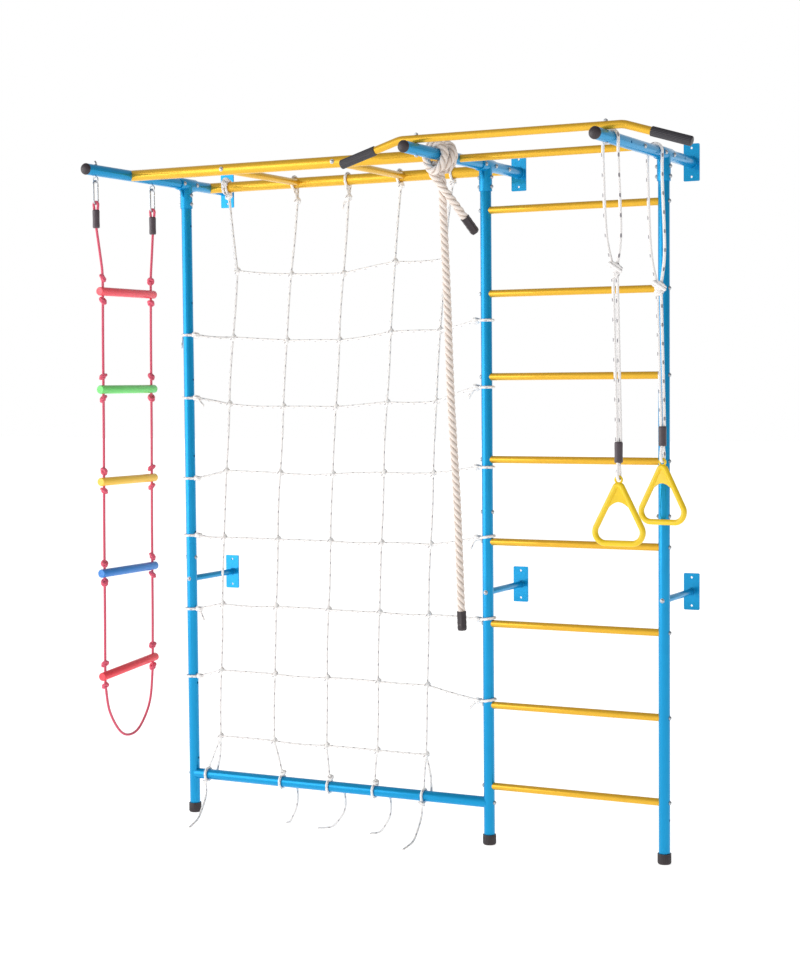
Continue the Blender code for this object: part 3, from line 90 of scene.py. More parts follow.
# %% Sizes of the frame
GAP = 0.0003
TUBE_R, BAR_R, BRACKET_R = 0.019, 0.0125, 0.011
WALL, THIN_WALL = 0.002, 0.0015
BOLT_HOLE, SCREW_HOLE = 0.009, 0.008
FINE, COARSE = 56, 48
POST_Y, ARM_END, FLOOR_Z = -0.285, -0.894, -2.314
LEFT_X, MIDDLE_X, RIGHT_X = -1.2, 0.0, 0.63
SIDES = {"left": LEFT_X, "middle": MIDDLE_X, "right": RIGHT_X}
CROSSBAR_Z = FLOOR_Z + 0.145
BRACKET_Z = FLOOR_Z + 0.870
RUNG_ZS = [FLOOR_Z + 0.203 + 0.28 * i for i in range(8)]
FRONT_RAIL_Y, REAR_RAIL_Y = -0.635, -0.127
OVERHEAD_XS = (-0.816, -0.386)
STRAIGHT_Y = -0.514
PULLUP_Y = -0.807
PULLUP_Z = TUBE_R + BAR_R + GAP
SPLICES = {"left": FLOOR_Z + 0.949, "middle": FLOOR_Z + 1.144, "right": FLOOR_Z + 1.144}
print("rung heights above the floor:", [round(z - FLOOR_Z, 3) for z in RUNG_ZS])

# %% [markdown]
# A material is a small network of shader nodes. One helper adds a node, gives it its settings and links its
# inputs, so that each finish reads as a short list of steps. Colours are written as the hex values that one
# picks off a photograph, and turned to the linear values that light needs.

# %% Helpers for materials
def linear(code):
    """Linear colour of an sRGB hex value."""
    parts = [int(code[i:i + 2], 16) / 255 for i in (0, 2, 4)]
    return [c / 12.92 if c <= 0.04045 else ((c + 0.055) / 1.055) ** 2.4 for c in parts] + [1.0]


def add(tree, kind, inputs=None, **settings):
    """Adds a node. Inputs holds values, or sockets to link, by input name or number."""
    node = tree.nodes.new(kind)
    for key, value in settings.items():
        setattr(node, key, value)
    for key, value in (inputs or {}).items():
        if isinstance(value, bpy.types.NodeSocket):
            tree.links.new(value, node.inputs[key])
        else:
            node.inputs[key].default_value = value
    return node


def finish_named(name, code, roughness, metallic=0.0):
    """New material with its shader. The view colour is the same as the base colour."""
    material = bpy.data.materials.new(name)
    material.use_nodes = True
    material.diffuse_color = linear(code)
    shader = material.node_tree.nodes["Principled BSDF"]
    shader.inputs["Base Color"].default_value = linear(code)
    shader.inputs["Roughness"].default_value = roughness
    shader.inputs["Metallic"].default_value = metallic
    return material, material.node_tree, shader


def mottled(name, code, shade, roughness, skin, patches, rough, metallic=0.0):
    """Finish with fine bumps, and with broad patches of two tones and of more or less gloss.

    Skin is the bumps' scale, detail, strength and depth. Patches is the patches' scale and
    detail. Rough is the part of the noise that is used and the roughness at its two ends.
    """
    material, tree, shader = finish_named(name, code, roughness, metallic)
    spot = add(tree, "ShaderNodeTexCoord").outputs["Object"]
    fine, broad = (add(tree, "ShaderNodeTexNoise", {"Vector": spot, "Scale": scale,
                                                    "Detail": detail}).outputs["Fac"]
                   for scale, detail in (skin[:2], patches))
    bump = add(tree, "ShaderNodeBump", {"Height": fine, "Strength": skin[2], "Distance": skin[3]})
    tone = add(tree, "ShaderNodeMix", {0: broad, 6: linear(code), 7: linear(shade)},
               data_type="RGBA")
    names = ("From Min", "From Max", "To Min", "To Max")
    gloss = add(tree, "ShaderNodeMapRange", {"Value": broad, **dict(zip(names, rough))})
    for socket, name in ((tone.outputs[2], "Base Color"), (gloss.outputs["Result"], "Roughness"),
                         (bump.outputs["Normal"], "Normal")):
        tree.links.new(socket, shader.inputs[name])
    return material, shader


# %% [markdown]
# Posts, arms and bars are steel tube with a powder coat: dry paint, sprayed on and baked. It flows almost
# smooth, which leaves a fine orange peel, ripples about 1.5 mm wide that soften the edges of reflections.
# The ripples are too fine to show from six metres away, so a second, broader noise of about 40 mm changes
# the roughness a little, as handling and cleaning do. The coat's highlights in the photograph are bright
# cyan and bright yellow, not white, as in a coat with metal flakes, so the finish is partly metallic. The
# same recipe serves blue and yellow.

# %% Powder coat
def powder_coat(name, code, shade):
    material, shader = mottled(name, code, shade, 0.30, (650.0, 1.0, 0.12, 0.0004), (25.0, 3.0),
                               (0.3, 0.7, 0.19, 0.27), metallic=0.45)
    shader.inputs["Specular IOR Level"].default_value = 0.3
    shader.inputs["Coat Weight"].default_value = 0.1
    shader.inputs["Coat Roughness"].default_value = 0.12
    return material


BLUE = powder_coat("Blue powder-coated steel", "0097CF", "008FC7")
YELLOW = powder_coat("Yellow powder-coated steel", "E8B634", "DFAB2C")
print(BLUE.name, "and", YELLOW.name)

# %% [markdown]
# Bolts, nuts, eyes and hooks are steel with bright zinc plating. Zinc grows in crystals, which show as
# faint patches of lighter and darker grey a few millimetres across, and its gloss is broken by the barrel
# in which the parts were plated.

# %% Zinc plating
def zinc_plated():
    material, tree, shader = finish_named("Zinc-plated steel", "B4B8BD", 0.28, metallic=1.0)
    spot = add(tree, "ShaderNodeTexCoord").outputs["Object"]
    grains = add(tree, "ShaderNodeTexVoronoi", {"Vector": spot, "Scale": 400.0})
    tone = add(tree, "ShaderNodeMix", {0: grains.outputs["Color"], 6: linear("A4A8AE"),
                                       7: linear("C6C9CD")}, data_type="RGBA")
    rough = add(tree, "ShaderNodeMapRange", {"Value": grains.outputs["Distance"],
                                             "To Min": 0.2, "To Max": 0.36})
    tree.links.new(tone.outputs[2], shader.inputs["Base Color"])
    tree.links.new(rough.outputs["Result"], shader.inputs["Roughness"])
    return material


ZINC = zinc_plated()

# %% [markdown]
# Foot cups, tube caps and the rope's end caps are moulded black rubber: a soft sheen and a skin of very
# small pits. The grips are a firmer ribbed rubber. The rings and the rope ladder's rungs are moulded
# plastic, glossy and coloured all through, with a faint flow mark from the mould.

# %% Rubber and plastic
def moulded(name, code, shade, roughness, grit, depth):
    """Moulded part. Grit is the size of the skin's pits in metres, depth their height."""
    return mottled(name, code, shade, roughness, (1 / grit, 2.0, 0.3, depth), (30.0, 2.0),
                   (0.0, 1.0, 0.85 * roughness, 1.15 * roughness))[0]


RUBBER = moulded("Black moulded rubber", "2A2024", "32282C", 0.42, 0.0015, 0.0003)
GRIP = moulded("Black ribbed grip rubber", "29272D", "322F36", 0.38, 0.001, 0.0002)
SLEEVE = moulded("Dark shrink sleeve", "453A40", "4F434A", 0.4, 0.001, 0.0002)
LEMON = moulded("Lemon yellow polypropylene", "F2CF1A", "EBC412", 0.30, 0.003, 0.0001)
RUNG_COLOURS = [("rung_red", "FA5C6A", "F45462"), ("rung_green", "7CE47C", "72DC74"),
                ("rung_yellow", "FFD04A", "FAC840"), ("rung_blue", "3088DA", "2B7ED0"),
                ("rung_red", "FA4856", "F4404E")]
RUNG_PLASTIC = [moulded(f"Polypropylene rung {i + 1}", code, shade, 0.34, 0.003, 0.0001)
                for i, (_, code, shade) in enumerate(RUNG_COLOURS)]

# %% [markdown]
# Rope is drawn by its lay: a UV map on every rope gives the way round it, from 0 to 1, and the distance
# along it in metres. On the braided ropes, two sets of spirals that run opposite ways cross in diamonds,
# one yarn each. The white ropes carry grey marker yarns that come to the surface for about 10 mm at a time.
# They read as short dashes, set in rows round the rope that are shifted by half a step from one row to the
# next. The braid of a thin rope is about 4 mm long, close to one pixel, so it is drawn at 12 to 14 mm.

# %% Braided rope
def crossed(tree, around, along, turns, pitch, operation):
    """Two sets of spirals, with that many turns each, that run opposite ways round the rope."""
    waves = []
    for sign in (1, -1):
        u = add(tree, "ShaderNodeMath", {0: around, 1: float(sign * turns)}, operation="MULTIPLY")
        v = add(tree, "ShaderNodeMath", {0: along, 1: 1 / pitch}, operation="MULTIPLY")
        both = add(tree, "ShaderNodeMath", {0: u.outputs[0], 1: v.outputs[0]}, operation="ADD")
        angle = add(tree, "ShaderNodeMath", {0: both.outputs[0], 1: 2 * math.pi},
                    operation="MULTIPLY")
        waves.append(add(tree, "ShaderNodeMath", {0: angle.outputs[0]}, operation="SINE"))
    return add(tree, "ShaderNodeMath", {0: waves[0].outputs[0], 1: waves[1].outputs[0]},
               operation=operation).outputs[0]


def braided(name, light, dark, yarns, pitch, marker, rows=2, marker_pitch=0.044):
    """Light braid, painted shade in its furrows, and rows of dashes in the marker's colour."""
    material, tree, shader = finish_named(name, light, 0.8)
    lay = add(tree, "ShaderNodeUVMap", uv_map="lay")
    axes = add(tree, "ShaderNodeSeparateXYZ", {0: lay.outputs[0]})
    around, along_it = axes.outputs[0], axes.outputs[1]
    height = crossed(tree, around, along_it, yarns, pitch, "MAXIMUM")
    bump = add(tree, "ShaderNodeBump", {"Height": height, "Strength": 0.55, "Distance": 0.0006})
    # Painted shade: the furrows, where the yarn height is low, get the dark colour.
    tone = add(tree, "ShaderNodeMapRange", {"Value": height, "From Min": -0.2, "From Max": 0.9})
    colour = add(tree, "ShaderNodeMix", {0: tone.outputs["Result"], 6: linear(dark),
                                         7: linear(light)}, data_type="RGBA").outputs[2]
    if marker:
        both = crossed(tree, around, along_it, rows, marker_pitch, "ADD")
        dash = add(tree, "ShaderNodeMapRange", {"Value": both, "From Min": 1.45, "From Max": 1.62})
        colour = add(tree, "ShaderNodeMix", {0: dash.outputs["Result"], 6: colour,
                                             7: linear(marker)}, data_type="RGBA").outputs[2]
    tree.links.new(colour, shader.inputs["Base Color"])
    tree.links.new(bump.outputs["Normal"], shader.inputs["Normal"])
    shader.inputs["Sheen Weight"].default_value = 0.25
    return material


NET_ROPE = braided("White braided net rope", "FCFAF8", "EDE9E6", 4, 0.012, "A5A1A5")
RING_ROPE = braided("White braided ring rope", "FCF9F8", "ECE8E6", 5, 0.014, "8E8A90", 1, 0.060)
RED_ROPE = braided("Crimson braided rope", "E8607A", "C4465F", 5, 0.013, None)

# %% [markdown]
# The thick climbing rope is cotton, three strands laid round each other. The strands are real geometry
# further down, so this finish only adds fuzz and stains on a strand, and painted shade, a darker brown,
# in the furrows. Each point of that geometry carries its depth, the distance from the middle of the rope,
# and the furrows between the strands are where that distance is small.

# %% Laid cotton
def laid_cotton():
    material, tree, shader = finish_named("Cream laid cotton", "EDE1D9", 0.9)
    spot = add(tree, "ShaderNodeTexCoord").outputs["Object"]
    fuzz = add(tree, "ShaderNodeTexNoise", {"Vector": spot, "Scale": 350.0, "Detail": 4.0})
    bump = add(tree, "ShaderNodeBump", {"Height": fuzz.outputs["Fac"], "Strength": 0.5,
                                        "Distance": 0.0005})
    stain = add(tree, "ShaderNodeTexNoise", {"Vector": spot, "Scale": 45.0, "Detail": 3.0})
    stained_cotton = add(tree, "ShaderNodeMix", {0: stain.outputs["Fac"], 6: linear("F1E7E0"),
                                        7: linear("E4D5CA")}, data_type="RGBA")
    # Painted shade: where the depth is small, in the furrows between the strands, the colour turns brown.
    depth = add(tree, "ShaderNodeAttribute", attribute_name="depth")
    raised = add(tree, "ShaderNodeMapRange", {"Value": depth.outputs["Fac"],
                                              "From Min": 0.0098, "From Max": 0.0126})
    colour = add(tree, "ShaderNodeMix", {0: raised.outputs["Result"], 6: linear("B39F8F"),
                                         7: stained_cotton.outputs[2]}, data_type="RGBA")
    tree.links.new(colour.outputs[2], shader.inputs["Base Color"])
    tree.links.new(bump.outputs["Normal"], shader.inputs["Normal"])
    shader.inputs["Sheen Weight"].default_value = 0.3
    return material


COTTON = laid_cotton()
print("ropes:", NET_ROPE.name, RED_ROPE.name, COTTON.name)

# %% [markdown]

# %% [markdown]
# Almost everything here is either swept along a line or turned round an axis. The class below collects such
# forms into one mesh, with the rope's UV map. A sweep carries its section along without twist: at each
# point the last section's sideways arrow is made square to the new direction.

# %% Sweeping and turning
def along(direction, place=(0.0, 0.0, 0.0)):
    """Matrix that turns +Z to the direction, at the place."""
    turned = Vector(direction).to_track_quat("Z", "Y").to_matrix().to_4x4()
    return Matrix.Translation(Vector(place)) @ turned


class Shape:
    """Points, faces and the lay map of one piece."""

    def __init__(self):
        self.points, self.faces, self.lay = [], [], []

    def ring(self, centre, side, up, radius, sides):
        start = len(self.points)
        for j in range(sides):
            a = 2 * math.pi * j / sides
            self.points.append(centre + (side * math.cos(a) + up * math.sin(a)) * radius)
        return start

    def bridge(self, low, high, sides, v_low, v_high):
        for j in range(sides):
            k = (j + 1) % sides
            self.faces.append((low + j, low + k, high + k, high + j))
            u, w = j / sides, (j + 1) / sides
            self.lay.append([(u, v_low), (w, v_low), (w, v_high), (u, v_high)])

    def lid(self, start, sides, v):
        self.faces.append(tuple(range(start, start + sides)))
        self.lay.append([(0.5, v)] * sides)

    def sweep(self, points, radius, sides=16, closed=False, ends="round"):
        """Round section along the points. Radius is one number, or one for each point."""
        points = [Vector(p) for p in points]
        n = len(points)
        radii = list(radius) if isinstance(radius, (list, tuple)) else [radius] * n
        ways = []
        for i in range(n):
            before = points[i - 1] if i or closed else points[0]
            after = points[(i + 1) % n] if i < n - 1 or closed else points[-1]
            ways.append((after - before).normalized())
        side = ways[0].orthogonal().normalized()
        starts, lengths, total = [], [], 0.0
        caps = (70, 35) if ends == "round" and not closed else ()
        for i, angle in ([(0, -a) for a in caps] + [(i, 0) for i in range(n)]
                         + [(n - 1, a) for a in caps[::-1]]):
            if not angle:
                side = (side - ways[i] * side.dot(ways[i])).normalized()
                total += (points[i] - points[i - 1]).length if i else 0.0
            lean = math.radians(angle)
            place = points[i] + ways[i] * radii[i] * math.sin(lean)
            starts.append(self.ring(place, side, ways[i].cross(side), radii[i] * math.cos(lean),
                                    sides))
            lengths.append(total)
        for i in range(len(starts) - 1):
            self.bridge(starts[i], starts[i + 1], sides, lengths[i], lengths[i + 1])
        if closed:
            self.bridge(starts[-1], starts[0], sides, total,
                        total + (points[0] - points[-1]).length)
        else:
            self.lid(starts[0], sides, 0.0)
            self.lid(starts[-1], sides, total)
        return self

    def turn(self, profile, matrix=None, sides=40, flutes=0, depth=0.0, loop=False):
        """Profile of (radius, height) turned round the matrix's Z axis."""
        matrix = matrix or Matrix.Identity(4)
        starts = []
        for r, z in profile:
            starts.append(len(self.points))
            if r < 1e-6:
                self.points.append(matrix @ Vector((0, 0, z)))
                continue
            for j in range(sides):
                a = 2 * math.pi * j / sides
                dip = depth * 0.5 * (1 + math.cos(flutes * a)) if flutes else 0.0
                self.points.append(matrix @ Vector(((r - dip) * math.cos(a),
                                                    (r - dip) * math.sin(a), z)))
        pairs = list(zip(range(len(profile)), range(1, len(profile))))
        if loop:
            pairs.append((len(profile) - 1, 0))
        for a, b in pairs:
            low, high = starts[a], starts[b]
            low_pole, high_pole = profile[a][0] < 1e-6, profile[b][0] < 1e-6
            for j in range(sides):
                k = (j + 1) % sides
                if low_pole and high_pole:
                    continue
                if low_pole:
                    self.faces.append((low, high + k, high + j))
                elif high_pole:
                    self.faces.append((low + j, low + k, high))
                else:
                    self.faces.append((low + j, low + k, high + k, high + j))
                self.lay.append([(j / sides, profile[a][1])] * len(self.faces[-1]))
        return self

    def slab(self, outline, thickness, matrix=None):
        """Outline of (x, y) points, thickened both ways along Z."""
        matrix = matrix or Matrix.Identity(4)
        n, start = len(outline), len(self.points)
        for z in (-thickness / 2, thickness / 2):
            self.points += [matrix @ Vector((x, y, z)) for x, y in outline]
        self.faces.append(tuple(range(start, start + n)))
        self.faces.append(tuple(range(start + n, start + 2 * n)))
        self.lay += [[(0.0, 0.0)] * n] * 2
        for j in range(n):
            k = (j + 1) % n
            self.faces.append((start + j, start + k, start + n + k, start + n + j))
            self.lay.append([(0.0, 0.0)] * 4)
        return self

    def mesh(self, name):
        mesh = bpy.data.meshes.new(name)
        mesh.from_pydata([tuple(p) for p in self.points], [], self.faces)
        lay = mesh.uv_layers.new(name="lay")
        lay.data.foreach_set("uv", [c for face in self.lay for corner in face for c in corner])
        work = bmesh.new()
        work.from_mesh(mesh)
        bmesh.ops.recalc_face_normals(work, faces=work.faces)
        work.to_mesh(mesh)
        work.free()
        return mesh


# %% [markdown]
# A profile with square corners looks cut from paper. Real tubes, caps and washers have small radii that
# catch the light, so this helper rounds each corner of a profile with three short steps before it is
# turned.

# %% Rounded profiles
def curved(start, pull, end, steps):
    """Points of a bend from start to end that is pulled towards a corner."""
    points = [start * (1 - t) ** 2 + pull * 2 * t * (1 - t) + end * t ** 2 for t in steps]
    return [(p.x, p.y) for p in points]


def rounded(profile, radius, loop=False):
    """Rounds the inner corners of a profile, or every corner of a closed one."""
    result, n = [], len(profile)
    for i, (r, z) in enumerate(profile):
        if not loop and i in (0, n - 1):
            result.append((r, z))
            continue
        here = Vector((r, z))
        before, after = Vector(profile[i - 1]), Vector(profile[(i + 1) % n])
        reach = min(radius, 0.4 * (before - here).length, 0.4 * (after - here).length)
        start = here + (before - here).normalized() * reach
        end = here + (after - here).normalized() * reach
        result += curved(start, here, end, (0.0, 0.35, 0.65, 1.0))
    return result


def tube_profile(outer, wall, low, high):
    """Closed profile of an open tube."""
    return rounded([(outer - wall, low), (outer, low), (outer, high), (outer - wall, high)],
                   0.0006, loop=True)


def linked(name, data):
    """New object in the scene."""
    obj = bpy.data.objects.new(name, data)
    bpy.context.scene.collection.objects.link(obj)
    return obj


def piece(name, mesh, material, *replaced, body="frame", sharp=40):
    """Puts a mesh into the scene as one finished piece. It rides on a body, if one is given."""
    obj = linked(name, mesh)
    mesh.materials.clear()
    mesh.materials.append(material)
    mesh.shade_smooth()
    mesh.set_sharp_from_angle(angle=math.radians(sharp))
    if body:
        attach(obj, body)
    if replaced:
        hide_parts(*replaced)
    return obj


# %% [markdown]
# Some forms are easier to carve than to build: a tube with a row of drilled holes, or a pressed shell that
# follows two tubes at once. This helper runs exact Booleans on a throwaway object and keeps only the
# result.

# %% Carving
def carved(mesh, steps):
    """The mesh after Boolean steps of (operation, mesh)."""
    obj = linked("Carving", mesh)
    tools = []
    for operation, other in steps:
        tools.append(linked("Tool", other))
        step = obj.modifiers.new(operation, "BOOLEAN")
        step.operation, step.object, step.solver = operation, tools[-1], "EXACT"
    result = bpy.data.meshes.new_from_object(
        obj.evaluated_get(bpy.context.evaluated_depsgraph_get()))
    for item in [obj] + tools:
        bpy.data.objects.remove(item)
    return result


def drilled(mesh, places, direction, length, width):
    """The mesh with a round hole at each place."""
    profile = [(0, -length / 2), (width / 2, -length / 2), (width / 2, length / 2), (0, length / 2)]
    cuts = [("DIFFERENCE", Shape().turn(profile, along(direction, place), sides=24).mesh("Drill"))
            for place in places]
    return carved(mesh, cuts) if cuts else mesh

# %% [markdown]
# The posts are plain tube, closed by the arm above and the rubber cup below. The left post and the right
# post are the same stock as the middle one, so they carry drilled holes that nothing uses: eight in the
# left post where the rungs would go, one in the right post for a second cross bar.

# %% Posts
EMPTY_HOLES = {"left": RUNG_ZS, "middle": [], "right": [CROSSBAR_Z]}
for side, x in SIDES.items():
    tube = Shape().turn(tube_profile(TUBE_R, WALL, FLOOR_Z + 0.0085, -TUBE_R - GAP),
                        Matrix.Translation((x, POST_Y, 0)), sides=FINE).mesh(f"post_{side}")
    post = drilled(tube, [(x + TUBE_R, POST_Y, z) for z in EMPTY_HOLES[side]], (1, 0, 0), TUBE_R,
                   BOLT_HOLE)
    piece(f"post_tube_{side}", post, BLUE, f"post_{side}")
print("posts:", len(SIDES))

# %% [markdown]
# Each roof arm is a tube welded square to a wall plate. The plate has rounded corners and two holes. The
# weld is a bead of small overlapping waves all the way round the tube, here a swept ring whose radius
# ripples. The right arm has the two holes of the rails that the other arms carry. Every tube that meets the
# wall is made this way, the thin lower brackets too.

# %% Wall plates and weld beads
PLATE_WIDE, PLATE_HIGH, PLATE_THICK, PLATE_HOLE_UP = 0.055, 0.125, 0.005, 0.048
CORNER_R, CORNER_STEPS = 0.004, 5
WAVE_LONG, WELD_OUT, WELD_R, WAVE_HIGH, WELD_POINTS = 0.003, 0.0008, 0.0021, 0.0003, 96


def plate_mesh(x, z):
    outline = []
    for sx, sy, start in ((1, 1, 0), (-1, 1, 90), (-1, -1, 180), (1, -1, 270)):
        for i in range(CORNER_STEPS + 1):
            a = math.radians(start + 90 * i / CORNER_STEPS)
            outline.append((sx * (PLATE_WIDE / 2 - CORNER_R) + CORNER_R * math.cos(a),
                            sy * (PLATE_HIGH / 2 - CORNER_R) + CORNER_R * math.sin(a)))
    flat = Matrix.Translation((x, -PLATE_THICK / 2, z)) @ Matrix.Rotation(math.pi / 2, 4, "X")
    plate = Shape().slab(outline, PLATE_THICK, flat).mesh("Plate")
    holes = [(x, -PLATE_THICK / 2, z + s * PLATE_HOLE_UP) for s in (-1, 1)]
    return drilled(plate, holes, (0, 1, 0), 3 * PLATE_THICK, SCREW_HOLE)


def weld_bead(shape, x, z, radius):
    """Ripples once every 3 mm, like the waves that a welder's hand leaves."""
    waves = round(2 * math.pi * radius / WAVE_LONG)
    angles = [2 * math.pi * i / WELD_POINTS for i in range(WELD_POINTS)]
    shape.sweep([(x + (radius + WELD_OUT) * math.cos(a), -PLATE_THICK - WELD_OUT,
                  z + (radius + WELD_OUT) * math.sin(a)) for a in angles],
                [WELD_R + WAVE_HIGH * math.cos(waves * a) for a in angles], sides=10, closed=True)
    return shape


def merged(*meshes, name="Merged"):
    """One mesh of several."""
    work = bmesh.new()
    for mesh in meshes:
        work.from_mesh(mesh)
    result = bpy.data.meshes.new(name)
    work.to_mesh(result)
    work.free()
    return result

# %% Roof arms
for side, x in SIDES.items():
    tube = Shape().turn(tube_profile(TUBE_R, WALL, 0.0, -ARM_END - PLATE_THICK + 0.0005),
                        along((0, 1, 0), (x, ARM_END, 0)), sides=FINE).mesh(f"arm_{side}")
    if side == "right":
        tube = drilled(tube, [(x, y, 0) for y in (FRONT_RAIL_Y, REAR_RAIL_Y)], (1, 0, 0), 0.06,
                       BOLT_HOLE)
    bead = weld_bead(Shape(), x, 0.0, TUBE_R)
    arm = merged(tube, plate_mesh(x, 0.0), bead.mesh("Bead"), name=f"arm_{side}")
    piece(f"roof_arm_{side}", arm, BLUE, f"arm_{side}")

# %% Lower wall brackets
BRACKET_START = POST_Y + TUBE_R - 0.003
for side, x in SIDES.items():
    shape = Shape().turn(tube_profile(BRACKET_R, WALL, 0.0, -PLATE_THICK - BRACKET_START + 0.0005),
                         along((0, 1, 0), (x, BRACKET_START, BRACKET_Z)), sides=40)
    weld_bead(shape, x, BRACKET_Z, BRACKET_R)
    mesh = merged(shape.mesh("Bracket"), plate_mesh(x, BRACKET_Z), name=f"bracket_{side}")
    piece(f"lower_bracket_{side}", mesh, BLUE, f"wall_bracket_{side}")
print("plates on the wall:", 2 * len(SIDES))

# %% [markdown]
# The clamp that joins a post to its arm is pressed from 3 mm sheet in two mirror halves. Each half wraps
# half of the arm and half of the post and has a web across both inner corners. One half is carved from
# round stock once, then mirrored and moved to the three posts.

# %% Clamp halves
CLAMP_SHEET, CLAMP_WEB = 0.003, 0.006
CLAMP_OUT = TUBE_R + GAP + CLAMP_SHEET
CLAMP_HALF_LONG, CLAMP_DROP = 0.053, 0.087


def web_outline():
    """Web in both corners below the arm, with deeply hollow edges, in (y, z)."""
    start = Vector((0.048, -0.021))
    edge = curved(start, Vector((0.024, -0.028)), Vector((0.0195, -0.062)),
                  (0.0, 0.15, 0.3, 0.45, 0.6, 0.8, 1.0))
    return edge + [(-y, z) for y, z in reversed(edge)] + [(-start.x, 0.0), (start.x, 0.0)]


def bar_mesh(direction, place, radius, length):
    profile = [(0, -length / 2), (radius, -length / 2), (radius, length / 2), (0, length / 2)]
    return Shape().turn(rounded(profile, 0.0006), along(direction, place), sides=FINE).mesh("Bar")


def clamp_half():
    arm_way, post_way, far = (0, 1, 0), (0, 0, 1), 0.2
    swap = Matrix(((0, 0, 1, 0), (1, 0, 0, 0), (0, 1, 0, 0), (0, 0, 0, 1)))
    other_half = Shape().slab([(-far, -far), (0.0005, -far), (0.0005, far), (-far, far)], 2 * far)
    return carved(bar_mesh(arm_way, (0, 0, 0), CLAMP_OUT, 2 * CLAMP_HALF_LONG), [
        ("UNION", bar_mesh(post_way, (0, 0, -CLAMP_DROP / 2), CLAMP_OUT, CLAMP_DROP)),
        ("UNION", Shape().slab(web_outline(), CLAMP_WEB, swap).mesh("Web")),
        ("DIFFERENCE", bar_mesh(arm_way, (0, 0, 0), TUBE_R + GAP, far)),
        ("DIFFERENCE", bar_mesh(post_way, (0, 0, -CLAMP_DROP), TUBE_R + GAP, 2 * CLAMP_DROP)),
        ("DIFFERENCE", other_half.mesh("Other half"))])


half_right = clamp_half()
for side, x in SIDES.items():
    for hand, sign in (("right", 1), ("left", -1)):
        mesh = half_right.copy()
        mesh.transform(Matrix.Translation((x, POST_Y, 0)) @ Matrix.Diagonal((sign, 1, 1, 1)))
        if sign < 0:
            mesh.flip_normals()
        piece(f"clamp_shell_{side}_{hand}", mesh, BLUE, f"clamp_{side}_{hand}", sharp=30)
print("clamp half has", len(half_right.polygons), "faces")

# %% [markdown]
# Rungs, rails and bars butt against the round side of their post or arm and are pulled tight by a bolt
# along their axis. Their ends run a few millimetres into the side of the other tube, where nobody sees
# them.

# %% Rungs, rails and bars
def cross_tube(name, material, node, start, end, radius):
    """Tube between two others of the frame, as a piece that replaces its node."""
    start, end = Vector(start), Vector(end)
    wall, sides = (WALL, FINE) if radius == TUBE_R else (THIN_WALL, COARSE)
    sink = math.sqrt(TUBE_R ** 2 - min(radius, 0.95 * TUBE_R) ** 2)
    way = (end - start).normalized()
    profile = tube_profile(radius, wall, 0.0, (end - start).length - 2 * sink)
    tube = Shape().turn(profile, along(way, start + way * sink), sides=sides)
    piece(name, tube.mesh(name), material, node)


cross_tube("lower_cross_bar", BLUE, "cross_bar", (LEFT_X, POST_Y, CROSSBAR_Z),
           (MIDDLE_X, POST_Y, CROSSBAR_Z), TUBE_R)
for i, z in enumerate(RUNG_ZS):
    cross_tube(f"rung_tube_{i + 1}", YELLOW, f"ladder_rung_{i + 1}", (MIDDLE_X, POST_Y, z),
               (RIGHT_X, POST_Y, z), BAR_R)
for name, y in (("front", FRONT_RAIL_Y), ("rear", REAR_RAIL_Y)):
    cross_tube(f"overhead_rail_{name}", YELLOW, f"rail_{name}", (LEFT_X, y, 0), (MIDDLE_X, y, 0),
               TUBE_R)
for i, x in enumerate(OVERHEAD_XS):
    cross_tube(f"overhead_bar_{i + 1}", YELLOW, f"overhead_rung_{i + 1}", (x, FRONT_RAIL_Y, 0),
               (x, REAR_RAIL_Y, 0), BAR_R)
cross_tube("straight_tube", YELLOW, "straight_bar", (MIDDLE_X, STRAIGHT_Y, 0),
           (RIGHT_X, STRAIGHT_Y, 0), BAR_R)
print("cross tubes:", 1 + len(RUNG_ZS) + 2 + len(OVERHEAD_XS) + 1)

# %% [markdown]
# The pull-up bar lies on top of the two arms and its ends bend down by 17 degrees, on an 80 mm radius, to
# give a wide slanted grip. A bend on a real bar is an arc between two straights, so the line is laid out
# like that and swept in one go. The grips are rubber sleeves with lengthwise ribs and a closed round end.

# %% Pull-up bar and grips
SLOPE, BEND_STEPS = math.radians(17), 12
BEND_R, SLOPE_LONG, BEND_OUT = 0.080, 0.219, 0.056
GRIP_THICK, GRIP_RIBS, RIB_DEEP = 0.0025, 20, 0.0009
BAR_ENDS = {"left": (MIDDLE_X - BEND_OUT, -1), "right": (RIGHT_X + BEND_OUT, 1)}


def bent_end(corner_x, sign):
    """Line of one end, from the bend outwards, and its direction."""
    tangent = BEND_R * math.tan(SLOPE / 2)
    points = []
    for i in range(BEND_STEPS + 1):
        a = SLOPE * i / BEND_STEPS
        points.append(Vector((corner_x + sign * (BEND_R * math.sin(a) - tangent), PULLUP_Y,
                              PULLUP_Z - BEND_R * (1 - math.cos(a)))))
    out = Vector((sign * math.cos(SLOPE), 0, -math.sin(SLOPE)))
    points.append(Vector((corner_x, PULLUP_Y, PULLUP_Z)) + out * SLOPE_LONG)
    return points, out


